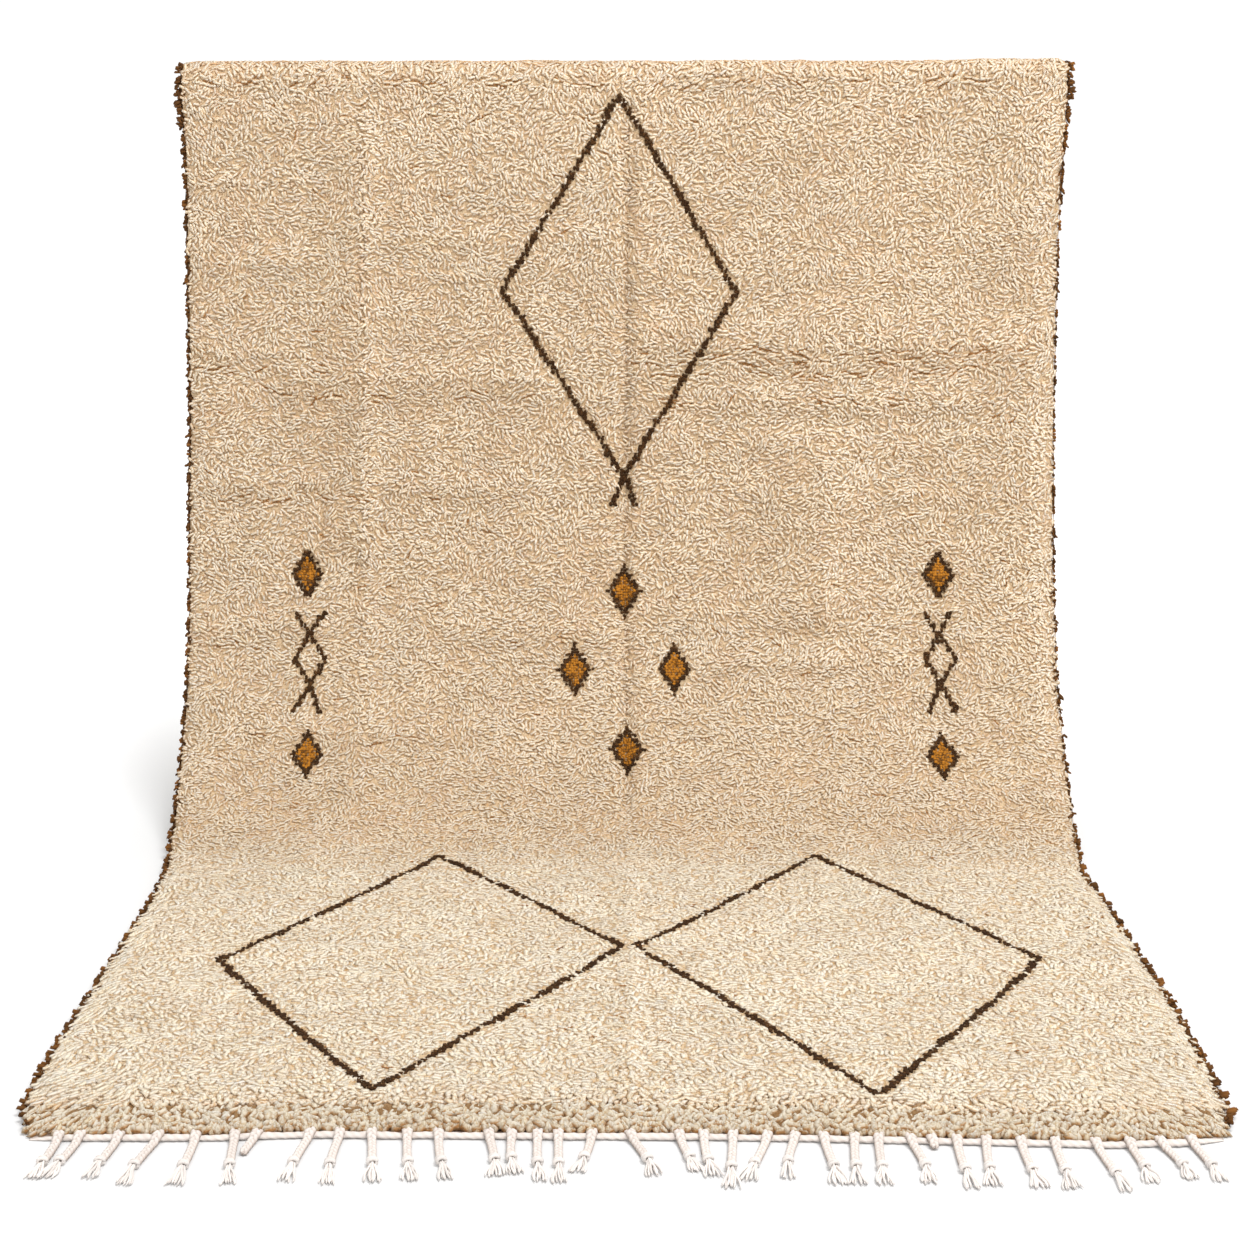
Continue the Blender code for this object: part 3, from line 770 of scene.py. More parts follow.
def sweep(paths, asides, radii, sides, first=math.pi / 2):
    """Points and faces of many round strands.

    paths are (strand, station, xyz), asides the sideways direction at each station, and radii
    (strand, station). A radius of 0 at an end closes the strand in a point there. The first side
    is at the given angle, where 90 degrees is away from the cloth.
    """
    strands, stations, _ = paths.shape
    tangents = unit(np.gradient(paths, axis=1))
    lifts = unit(np.cross(asides, tangents))
    asides = unit(np.cross(tangents, lifts))
    turn = first + 2.0 * math.pi * np.arange(sides) / sides
    ring = (np.cos(turn)[:, None] * asides[:, :, None, :] + np.sin(turn)[:, None] * lifts[:, :, None, :])
    rings = paths[:, :, None, :] + radii[:, :, None, None] * ring
    middle = rings[:, 1:-1].reshape(strands, -1, 3)
    points = np.concatenate((paths[:, :1], middle, paths[:, -1:]), axis=1)
    per_strand = points.shape[1]
    inner = stations - 2

    side = np.arange(sides)
    after = (side + 1) % sides
    level = 1 + sides * np.arange(inner - 1)[:, None]
    quads = np.stack((level + side, level + sides + side, level + sides + after, level + after), axis=-1)
    last = 1 + sides * (inner - 1)
    start_tris = np.stack((np.zeros(sides, int), 1 + side, 1 + after), axis=-1)
    end_tris = np.stack((last + side, np.full(sides, per_strand - 1), last + after), axis=-1)
    tris = np.concatenate((start_tris, end_tris))
    offsets = per_strand * np.arange(strands)[:, None, None]
    all_quads = (quads.reshape(1, -1, 4) + offsets).reshape(-1, 4)
    all_tris = (tris[None] + offsets).reshape(-1, 3)
    return points, all_quads, all_tris


def station_values(values, sides):
    """Spread a value for each station over the points that sweep() makes."""
    middle = np.repeat(values[:, 1:-1], sides, axis=1)
    return np.concatenate((values[:, :1], middle, values[:, -1:]), axis=1)


def strand_grid(lengths, shares, sides, first, rng):
    """For the points of sweep(): place beside the strand's middle, place along it, its own number."""
    turn = first + 2.0 * math.pi * np.arange(sides) / sides
    inner = len(shares) - 2
    grid = np.zeros((len(lengths), 2 + inner * sides, 3))
    grid[:, 1:-1, 0] = np.tile(np.cos(turn), inner)
    grid[:, 1:-1, 1] = np.repeat(shares[1:-1], sides) * lengths[:, None]
    grid[:, -1, 1] = shares[-1] * lengths
    grid[:, :, 2] = rng.uniform(0.0, 50.0, (len(lengths), 1))
    return grid


def make_mesh(name, points, quads, tris, tints, materials, face_slots=None, strands=None):
    """Mesh object from arrays of points, four- and three-sided faces, colours and strand places."""
    mesh = bpy.data.meshes.new(name)
    points = points.reshape(-1, 3)
    sizes = np.concatenate((np.full(len(quads), 4), np.full(len(tris), 3)))
    corners = np.concatenate((quads.ravel(), tris.ravel()))
    starts = np.concatenate(([0], np.cumsum(sizes)[:-1]))
    mesh.vertices.add(len(points))
    mesh.vertices.foreach_set("co", points.astype(np.float32).ravel())
    mesh.loops.add(len(corners))
    mesh.loops.foreach_set("vertex_index", corners.astype(np.int32))
    mesh.polygons.add(len(sizes))
    mesh.polygons.foreach_set("loop_start", starts.astype(np.int32))
    if face_slots is not None:
        mesh.polygons.foreach_set("material_index", face_slots.astype(np.int32))
    layer = mesh.color_attributes.new("tint", "FLOAT_COLOR", "POINT")
    colours = np.ones((len(points), 4), np.float32)
    colours[:, :3] = tints.reshape(-1, 3)
    layer.data.foreach_set("color", colours.ravel())
    if strands is not None:
        layer = mesh.attributes.new("strand", "FLOAT_VECTOR", "POINT")
        layer.data.foreach_set("vector", strands.astype(np.float32).ravel())
    for material in materials:
        mesh.materials.append(material)
    mesh.update(calc_edges=True)
    mesh.shade_smooth()
    made = bpy.data.objects.new(name, mesh)
    bpy.context.collection.objects.link(made)
    return made


def join_parts(parts):
    """One set of points, faces and tints from several (points, quads, tris, tints)."""
    joined = []
    count = 0
    for points, quads, tris, tints in parts:
        flat = points.reshape(-1, 3)
        joined.append((flat, quads + count, tris + count, tints.reshape(-1, 3)))
        count += len(flat)
    return [np.concatenate(arrays) for arrays in zip(*joined)]


# ================================================================ materials

def set_input(tree, socket, value):
    """Give an input a value, or link it to the output of another node."""
    if isinstance(value, bpy.types.NodeSocket):
        tree.links.new(value, socket)
    else:
        socket.default_value = value


def add_node(tree, kind, inputs, **settings):
    """New node: its inputs by name or number, each with a value or an output to link, and its settings."""
    node = tree.nodes.new(kind)
    for key, value in settings.items():
        setattr(node, key, value)
    for key, value in inputs.items():
        set_input(tree, node.inputs[key], value)
    return node


def read_attribute(tree, name, output):
    """An attribute of the mesh, as a colour or a vector."""
    return add_node(tree, "ShaderNodeAttribute", {}, attribute_name=name).outputs[output]


def number_math(tree, operation, *values):
    """The result of a sum with numbers."""
    return add_node(tree, "ShaderNodeMath", dict(enumerate(values)), operation=operation).outputs["Value"]


def vector_math(tree, operation, *values):
    """The result of a sum with vectors."""
    node = add_node(tree, "ShaderNodeVectorMath", dict(enumerate(values)), operation=operation)
    return node.outputs["Vector"]


def scale_vector(tree, vector, scale):
    """The vector, times a number."""
    node = add_node(tree, "ShaderNodeVectorMath", {"Vector": vector, "Scale": scale}, operation="SCALE")
    return node.outputs["Vector"]


def map_range(tree, value, start, end, smooth="SMOOTHSTEP"):
    """The value, mapped from the two numbers of start to those of end."""
    inputs = {"Value": value, "From Min": start[0], "From Max": start[1], "To Min": end[0], "To Max": end[1]}
    return add_node(tree, "ShaderNodeMapRange", inputs, interpolation_type=smooth).outputs["Result"]


def add_noise(tree, spot, scale, detail, roughness, output="Fac"):
    """Noise at a place, as a number or a colour."""
    inputs = {"Vector": spot, "Scale": scale, "Detail": detail, "Roughness": roughness}
    return add_node(tree, "ShaderNodeTexNoise", inputs).outputs[output]


def add_bump(tree, height, distance, **inputs):
    """The surface's direction, with relief."""
    inputs = {"Strength": 1.0, "Distance": distance, "Height": height, **inputs}
    return add_node(tree, "ShaderNodeBump", inputs).outputs["Normal"]


def add_mixed_tone(tree, colour, share, tone):
    """The colour, times the tone where the share is 0."""
    tones = add_node(tree, "ShaderNodeMix", {"Factor": share}, data_type="VECTOR")
    _, low, high = (socket for socket in tones.inputs if socket.type == "VECTOR")
    low.default_value = tone
    high.default_value = (1.0, 1.0, 1.0)
    mixed = next(socket for socket in tones.outputs if socket.type == "VECTOR")
    return vector_math(tree, "MULTIPLY", colour, mixed)


def add_creases(tree, colour, spot):
    """Fine curling creases of the wool: the tinted colour with painted shade in them, and their relief."""
    curls = add_noise(tree, vector_math(tree, "MULTIPLY", spot, CREASE_SCALE), 1.0, 1.0, 0.5)
    size = number_math(tree, "ABSOLUTE", number_math(tree, "SUBTRACT", curls, 0.5))
    open_share = map_range(tree, size, (0.0, CREASE_WIDTH), (0.0, 1.0))
    return add_mixed_tone(tree, colour, open_share, CREASE_SHADE_TONE), open_share


def add_shaded_edges(tree, colour, strand):
    """The colour, warmer and darker towards both edges of each strand."""
    parts = add_node(tree, "ShaderNodeSeparateXYZ", {"Vector": strand})
    size = number_math(tree, "ABSOLUTE", parts.outputs["X"])
    middle_share = map_range(tree, size, (EDGE_FROM, EDGE_TO), (1.0, 0.0))
    return add_mixed_tone(tree, colour, middle_share, EDGE_TONE)


def new_surface(name, roughness, specular):
    """New material, its nodes and its shader."""
    material = bpy.data.materials.new(name)
    material.use_nodes = True
    shader = material.node_tree.nodes["Principled BSDF"]
    shader.inputs["Roughness"].default_value = roughness
    shader.inputs["Specular IOR Level"].default_value = specular
    return material, material.node_tree, shader


def fibre_material(name, roughness, sheen, fibre, contrast, bump, creased=False):
    """Wool or cotton: tinted strands with fine fibre mottling and a fuzzy sheen.

    Where fibre is 0 the fibres run along the strands, and otherwise it is the size of the mottling.
    """
    material, tree, shader = new_surface(name, roughness, FIBRE_SPECULAR)
    shader.inputs["Sheen Weight"].default_value = sheen
    shader.inputs["Sheen Roughness"].default_value = SHEEN_ROUGHNESS
    spot = add_node(tree, "ShaderNodeTexCoord", {}).outputs["Object"]
    if fibre:
        fine = add_noise(tree, spot, 1.0 / fibre, 3.0, 0.65)
    else:
        strand = read_attribute(tree, "strand", "Vector")
        fine = add_noise(tree, vector_math(tree, "MULTIPLY", strand, STRAND_FIBRES), 1.0, 2.0, 0.6)
    wide = add_noise(tree, spot, WIDE_SCALE, 2.0, 0.5)
    tones = [map_range(tree, noise, (0.0, 1.0), (1.0 - size, 1.0 + size), "LINEAR")
             for noise, size in ((fine, contrast), (wide, WIDE_CONTRAST))]
    tone = number_math(tree, "MULTIPLY", *tones)
    colour = scale_vector(tree, read_attribute(tree, "tint", "Color"), tone)
    creases = {}
    if creased:
        if not fibre:
            colour = add_shaded_edges(tree, colour, strand)
        colour, depth = add_creases(tree, colour, spot)
        creases["Normal"] = add_bump(tree, depth, CREASE_BUMP)
    set_input(tree, shader.inputs["Base Color"], colour)
    set_input(tree, shader.inputs["Normal"], add_bump(tree, fine, bump, **creases))
    return material


def weave_material(name, roughness, specular):
    """The back of the cloth: rows of knots with weft between them."""
    material, tree, shader = new_surface(name, roughness, specular)
    flat = read_attribute(tree, "strand", "Vector")
    wander = add_noise(tree, flat, BACK_WANDER_SCALE, 2.0, 0.6, "Color")
    wander = scale_vector(tree, vector_math(tree, "SUBTRACT", wander, (0.5, 0.5, 0.5)), BACK_WANDER)
    knots = add_node(tree, "ShaderNodeTexBrick", {
        "Vector": vector_math(tree, "ADD", flat, wander),
        "Scale": 1.0,
        "Brick Width": BACK_KNOT,
        "Row Height": BACK_ROW,
        "Mortar Size": BACK_GAP,
        "Mortar Smooth": 1.0,
        "Color1": (*BACK_KNOT_TONES[0], 1.0),
        "Color2": (*BACK_KNOT_TONES[1], 1.0),
        "Mortar": (*BACK_WEFT, 1.0),
    })
    colour = vector_math(tree, "MULTIPLY", read_attribute(tree, "tint", "Color"), knots.outputs["Color"])
    height = number_math(tree, "SUBTRACT", 1.0, knots.outputs["Fac"])
    set_input(tree, shader.inputs["Base Color"], colour)
    set_input(tree, shader.inputs["Normal"], add_bump(tree, height, BACK_RELIEF))
    return material


def glow_material(name, strength):
    """Surface that only gives white light of its own."""
    material = bpy.data.materials.new(name)
    material.use_nodes = True
    tree = material.node_tree
    tree.nodes.remove(tree.nodes["Principled BSDF"])
    glow = add_node(tree, "ShaderNodeEmission", {"Strength": strength, "Color": WHITE})
    tree.links.new(glow.outputs["Emission"], tree.nodes["Material Output"].inputs["Surface"])
    return material


def floor_material(name):
    """White studio floor that is lit a little from below, the more the farther from the object."""
    material, tree, shader = new_surface(name, FLOOR_ROUGHNESS, 0.0)
    shader.inputs["Base Color"].default_value = (FLOOR_ALBEDO, FLOOR_ALBEDO, FLOOR_ALBEDO, 1.0)
    shader.inputs["Emission Color"].default_value = WHITE
    spot = add_node(tree, "ShaderNodeTexCoord", {}).outputs["Object"]
    distance = add_node(tree, "ShaderNodeVectorMath", {0: spot}, operation="LENGTH").outputs["Value"]
    glow = map_range(tree, distance, (GLOW_FROM, GLOW_TO), (NEAR_GLOW, FAR_GLOW))
    set_input(tree, shader.inputs["Emission Strength"], glow)
    return material


# ================================================================ the ground

def make_ground(weave, roots):
    """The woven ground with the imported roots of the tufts: one closed draped slab."""
    across = np.linspace(-HALF_WIDTH, HALF_WIDTH, round(2 * HALF_WIDTH / GROUND_PITCH) + 1)
    middle, _, _, half_width, _, _ = DOWN_FOLDS[0]
    valley = middle + half_width * VALLEY_COLUMNS
    across = np.sort(np.concatenate((across[np.abs(across - middle) > half_width + VALLEY_MARGIN], valley)))
    crest_rows = np.linspace(TOP_END, CREST_START, CREST_ROWS + 1)[:-1]
    other_rows = np.linspace(CREST_START, FRONT_EDGE, round((FRONT_EDGE - CREST_START) / GROUND_PITCH) + 1)
    down = np.concatenate((crest_rows, other_rows))
    grid_down, grid_across = np.meshgrid(down, across, indexing="ij")
    rows, columns = grid_across.shape
    back = place(grid_across, grid_down, back_rise(grid_across, grid_down))
    top = place(grid_across, grid_down, bed_rise(grid_across, grid_down))
    points = np.concatenate((back.reshape(-1, 3), top.reshape(-1, 3)))

    index = np.arange(rows * columns).reshape(rows, columns)
    a, b = index[:-1, :-1].ravel(), index[:-1, 1:].ravel()
    c, d = index[1:, 1:].ravel(), index[1:, :-1].ravel()
    back_faces = np.stack((a, b, c, d), axis=-1)
    over = rows * columns
    top_faces = np.stack((a, d, c, b), axis=-1) + over
    border = np.concatenate((index[0, :-1], index[:-1, -1], index[-1, :0:-1], index[:0:-1, 0]))
    after = np.roll(border, -1)
    rim_faces = np.stack((border, border + over, after + over, after), axis=-1)
    quads = np.concatenate((back_faces, top_faces, rim_faces))
    slots = np.concatenate((np.zeros(len(back_faces)), np.ones(len(top_faces) + len(rim_faces))))
    # Painted shade: the bed is darker and warmer than the pile, and darkest under the front locks
    front = ease(grid_down.ravel(), FRONT_EDGE - FRONT_SHADE_FROM, FRONT_EDGE - FRONT_SHADE_TO)[:, None]
    tints = np.concatenate((np.tile(BACK_WOOL, (over, 1)), mix(BED, FRONT_BED_SHADE, front)))
    flat = np.stack((grid_across.ravel(), grid_down.ravel(), np.zeros(over)), axis=-1)
    return make_mesh("knotted_ground", points, quads, np.zeros((0, 3), int), tints, (weave, roots), slots,
                     strands=np.concatenate((flat, flat)))


# ================================================================ the motifs

def chart_rows(low, high):
    """Rows of the chart between two places down the rug."""
    first = math.ceil(low / KNOT_DOWN)
    return np.arange(first, math.floor(high / KNOT_DOWN) + 1) * KNOT_DOWN


def line_knots(start, end, width, chance):
    """Knots of the chart along one straight line of a motif."""
    if start[1] > end[1]:
        start, end = end, start
    knots = []
    for down in chart_rows(start[1], end[1]):
        share = (down - start[1]) / (end[1] - start[1])
        middle = start[0] + share * (end[0] - start[0])
        middle += LINE_WANDER * math.sin(61.0 * down + 9.0 * start[0])
        first = round((middle - width / 2) / (KNOT_ACROSS / 2)) * KNOT_ACROSS / 2
        clumping = LYING_CLUMPING if down > BEND_END - 0.1 else HANGING_CLUMPING
        clump = math.sin(83.0 * down + 7.0 * start[0]) * math.sin(31.0 * down + 3.0 * end[0])
        wide = width * (1.0 + clumping * clump) * ROW_WIDTHS[round(down / KNOT_DOWN) % 2]
        knots.append((first + width / 2, down, wide))
        if chance.random() < LOOSE_KNOTS:
            stray = chance.choice((-1, 1)) * width * LOOSE_AT
            knots.append((first + width / 2 + stray, down, width * LOOSE_WIDTH))
    return knots


def motif_knots():
    """All knots of the motifs: (across, down, width, colour name)."""
    chance = random.Random(5)
    knots = []
    for width, corners in OUTLINES:
        for start, end in zip(corners, corners[1:]):
            knots += [(*knot, "brown") for knot in line_knots(start, end, width, chance)]
    for middle in ZIGZAG_MIDDLES:
        for hand in (0, 1):
            for start, end in zip(ZIGZAG_ROWS, ZIGZAG_ROWS[1:]):
                near = (middle + start[hand], start[2])
                far = (middle + end[hand], end[2])
                knots += [(*knot, "brown") for knot in line_knots(near, far, ZIGZAG_WIDTH, chance)]
    for across, down, half_width, half_height in FILLED:
        knots += filled_knots(across, down, half_width, half_height)
    return knots


def filled_knots(across, down, half_width, half_height):
    """Knots of one filled diamond: a stepped brown outline round ochre."""
    rows = round(half_height / CELL_DOWN)
    columns = round(half_width / CELL_ACROSS)
    knots = []
    for row in range(-rows, rows + 1):
        for column in range(-columns, columns + 1):
            share = abs(column * CELL_ACROSS) / half_width + abs(row * CELL_DOWN) / half_height
            if share > STEP_LIMITS[row % 2]:
                continue
            colour = "ochre" if share <= FILLED_CORE else "outline"
            knots.append((across + column * CELL_ACROSS, down + row * CELL_DOWN, CELL_ACROSS, colour))
    return knots


def motif_mask(knots):
    """Map of the flat cloth, true where a knot of a motif stands."""
    columns = round(2 * HALF_WIDTH / MASK_STEP)
    rows = round(FRONT_EDGE / MASK_STEP)
    mask = np.zeros((rows, columns), bool)
    for across, down, width, _ in knots:
        left = round((across - width / 2 + HALF_WIDTH) / MASK_STEP)
        right = round((across + width / 2 + HALF_WIDTH) / MASK_STEP)
        top = round((down - KNOT_DOWN / 2) / MASK_STEP)
        bottom = round((down + KNOT_DOWN / 2) / MASK_STEP)
        mask[top:bottom, left:right] = True
    return mask


def on_motif(mask, across, down):
    """Whether points of the flat cloth lie on a motif."""
    column = np.clip(((across + HALF_WIDTH) / MASK_STEP).astype(int), 0, mask.shape[1] - 1)
    row = np.clip((down / MASK_STEP).astype(int), 0, mask.shape[0] - 1)
    return mask[row, column]


# ================================================================ the tufts

def bend_paths(across, down, heading, curl, reach, stations):
    """Paths on the flat cloth: each starts half its reach behind its middle and curls."""
    shares = stations[:, 0]
    middles = (shares[1:] + shares[:-1]) / 2
    angle = heading[:, None] + curl[:, None] * (middles - 0.5)
    steps = np.diff(shares) * reach[:, None]
    along_x = np.concatenate((np.zeros((len(across), 1)), np.cumsum(steps * np.cos(angle), axis=1)), axis=1)
    along_y = np.concatenate((np.zeros((len(across), 1)), np.cumsum(steps * np.sin(angle), axis=1)), axis=1)
    x = across[:, None] + along_x - (along_x[:, -1:]) / 2
    y = down[:, None] + along_y - (along_y[:, -1:]) / 2
    turn = heading[:, None] + curl[:, None] * (shares - 0.5)
    return x, y, turn


def asides_of(turn, down):
    """Sideways directions, in the room, of strands that head along turn on the flat cloth."""
    return -np.sin(turn)[..., None] * ASIDE + np.cos(turn)[..., None] * run_direction(down)


def make_tufts(name, across, down, rise, turn, radii, tints, strands, wool):
    """Piece of tufts that are given on the flat cloth, three-sided with a flat side out."""
    swept = sweep(place(across, down, rise), asides_of(turn, down), radii, TUFT_SIDES, FLAT_OUT)
    return make_mesh(name, *swept, tints, (wool,), strands=strands)


def unstretch(down):
    """Place down the back of the cloth of a place down its pile side, which is longer over the crest."""
    return np.where(down < CREST_START, CREST_START - (CREST_START - down) / CREST_STRETCH, down)


def patch_middles(rng):
    """Middles of the patches on an uneven grid that reaches past the cloth: (row, column, 2)."""
    columns = np.arange(-HALF_WIDTH - 3 * PATCH_ACROSS, HALF_WIDTH + 3 * PATCH_ACROSS, PATCH_ACROSS)
    rows = np.arange(PILE_TOP - 3 * PATCH_DOWN, FRONT_EDGE + 3 * PATCH_DOWN, PATCH_DOWN)
    across, down = np.meshgrid(columns, rows)
    across = across + PATCH_ACROSS * (0.5 + rng.uniform(-PATCH_SHIFT, PATCH_SHIFT, across.shape))
    down = down + PATCH_DOWN * (0.5 + rng.uniform(-PATCH_SHIFT, PATCH_SHIFT, down.shape))
    return np.stack((across, down), axis=-1), (columns[0], rows[0])


def nearest_patch(middles, corner, across, down):
    """Number of the patch that each point belongs to, and how far its edge is."""
    rows, columns, _ = middles.shape
    row = np.floor((down - corner[1]) / PATCH_DOWN).astype(int)
    column = np.floor((across - corner[0]) / PATCH_ACROSS).astype(int)
    best = np.full(across.shape, 9.0)
    second = best.copy()
    number = np.zeros(across.shape, int)
    for row_step in range(-2, 3):
        for column_step in range(-2, 3):
            near_row = np.clip(row + row_step, 0, rows - 1)
            near_column = np.clip(column + column_step, 0, columns - 1)
            middle = middles[near_row, near_column]
            distance = np.hypot(middle[:, 0] - across, middle[:, 1] - down)
            nearer = distance < best
            second = np.where(nearer, best, np.minimum(second, distance))
            number = np.where(nearer, near_row * columns + near_column, number)
            best = np.where(nearer, distance, best)
    return number, (second - best) / 2


def comb_patch(middle, rng):
    """Tufts of one patch, in lanes along arcs: (across, down, heading, curl, yarn, reach)."""
    yarn, beside, behind, reach = (look_up(PILE_ROWS, middle[1], column) for column in range(1, 5))
    usual, spread = (look_up(COMB_ROWS, middle[1], column) for column in (1, 2))
    heading = usual + spread * rng.normal()
    heading += math.pi * rng.integers(0, 2) * (TURNED_PATCHES[0] < middle[1] < TURNED_PATCHES[1])
    arc = PATCH_RADIUS / rng.uniform(0.05, 1.0) * rng.choice((-1.0, 1.0))
    size = 0.75 * max(PATCH_ACROSS, PATCH_DOWN) * (1.0 + PATCH_SHIFT)
    lanes = np.arange(-size, size, beside) + beside * rng.uniform()
    places = np.arange(-size, size, behind)
    aside = lanes[:, None] + beside * rng.normal(0.0, LANE_NOISE[0], (len(lanes), len(places)))
    along = places[None, :] + behind * rng.uniform(size=(len(lanes), 1))
    along = along + behind * rng.normal(0.0, LANE_NOISE[1], aside.shape)
    radius = arc - aside
    radius = np.where(np.abs(radius) < LEAST_RADIUS, LEAST_RADIUS, radius)
    turn = along / radius
    ahead = radius * np.sin(turn)
    sideways = arc - radius * np.cos(turn)
    across = middle[0] + ahead * math.cos(heading) - sideways * math.sin(heading)
    down = middle[1] + ahead * math.sin(heading) + sideways * math.cos(heading)
    usable = (np.abs(turn) < WIDEST_TURN) & (np.abs(arc - aside) > LEAST_USABLE)
    full = np.ones(across.shape)
    rows = (across, down, heading + turn, reach / radius, yarn * full, reach * full)
    return np.stack([row[usable] for row in rows])


def fill_holes(tufts, mask, rng):
    """Places that the combed tufts leave bare: (across, down)."""
    stations = np.stack((HOLE_STATIONS, HOLE_STATIONS), axis=-1)
    x, y, _ = bend_paths(tufts[0], tufts[1], tufts[2], tufts[3], tufts[5] * 0.9, stations)
    columns = round(2 * HALF_WIDTH / HOLE_STEP)
    rows = round((LAST_TUFT - PILE_TOP) / HOLE_STEP)
    cell_x = -HALF_WIDTH + (np.arange(columns) + 0.5) * HOLE_STEP
    cell_y = PILE_TOP + (np.arange(rows) + 0.5) * HOLE_STEP
    taken = on_motif(mask, *np.meshgrid(cell_x, cell_y))
    column = ((x + HALF_WIDTH) / HOLE_STEP).astype(int)
    row = ((y - PILE_TOP) / HOLE_STEP).astype(int)
    for row_step in (-1, 0, 1):
        for column_step in (-1, 0, 1):
            taken[np.clip(row + row_step, 0, rows - 1), np.clip(column + column_step, 0, columns - 1)] = True
    row, column = np.nonzero(~taken)
    order = rng.permutation(len(row))
    block = (row[order] // 3) * columns + column[order] // 3
    chosen = order[np.unique(block, return_index=True)[1]]
    return cell_x[column[chosen]], cell_y[row[chosen]]


def crack_lines(rng):
    """Cracks of the pile: (across, down, half length, direction, strength) for each."""
    lines = []
    spread, half, turn, strength = LISTED_CRACKS
    for down, start, end, count in CRACK_ROWS:
        for _ in range(count):
            across = rng.uniform(start, end)
            row = down + rng.normal(0.0, spread)
            lines.append((across, row, rng.uniform(*half), rng.normal(0.0, turn), rng.uniform(*strength)))
    reach, half, turn, strength = OTHER_CRACKS
    for _ in range(SCATTERED_CRACKS):
        across = rng.uniform(-HALF_WIDTH, HALF_WIDTH)
        row = rng.uniform(*reach)
        lines.append((across, row, rng.uniform(*half), rng.normal(0.0, turn), rng.uniform(*strength)))
    return lines


def crack_wave(ahead, middle):
    """Sideways wander of a crack."""
    return CRACK_WANDER * np.sin(ahead * 260.0 + 90.0 * middle)


def nearest_crack(lines, across, down):
    """For points of the flat cloth: strength, direction and sideways distance of the crack they are at."""
    strength = np.zeros(across.shape)
    direction = np.zeros(across.shape)
    distance = np.ones(across.shape)
    for middle, row, half, angle, force in lines:
        near = np.abs(down - row) < CRACK_NEAR
        ahead = (across[near] - middle) * math.cos(angle) + (down[near] - row) * math.sin(angle)
        aside = (down[near] - row) * math.cos(angle) - (across[near] - middle) * math.sin(angle)
        aside = aside - crack_wave(ahead, middle)
        here = force * (np.abs(aside) < CRACK_REACH) * (1.0 - ease(np.abs(ahead), half, half + CRACK_FADE))
        stronger = here > strength[near]
        strength[near] = np.where(stronger, here, strength[near])
        direction[near] = np.where(stronger, angle, direction[near])
        distance[near] = np.where(stronger, aside, distance[near])
    return strength, direction, distance


def crack_shade_roots(lines, rng):
    """Roots at the bottom of the cracks, darkened as painted shade: (across, down, heading, strength)."""
    rows = []
    for middle, row, half, angle, force in lines:
        for ahead in np.arange(-half, half + 0.001, CRACK_PITCH):
            aside = crack_wave(ahead, middle)
            rows.append((middle + ahead * math.cos(angle) - aside * math.sin(angle),
                         row + ahead * math.sin(angle) + aside * math.cos(angle),
                         angle + rng.normal(0.0, 0.12), force))
    return np.array(rows).T


def turn_between(first, second, share):
    """Direction between two directions, by the share of the second one."""
    x = mix(np.cos(first), np.cos(second), share)
    y = mix(np.sin(first), np.sin(second), share)
    return np.arctan2(y, x)


def turn_towards(heading, target, share):
    """Directions between heading and target, as undirected lines."""
    flip = np.where(np.cos(heading - target) < 0.0, math.pi, 0.0)
    return turn_between(heading - flip, target, share) + flip


def outward_share(across, down):
    """How strongly the tufts are combed outwards: the sides of the lying part and the front corners."""
    sides, corners = (share * ease(np.abs(across), *beside) * ease(down, *along)
                      for share, beside, along in OUTWARD_AREAS)
    return np.maximum(sides, corners)


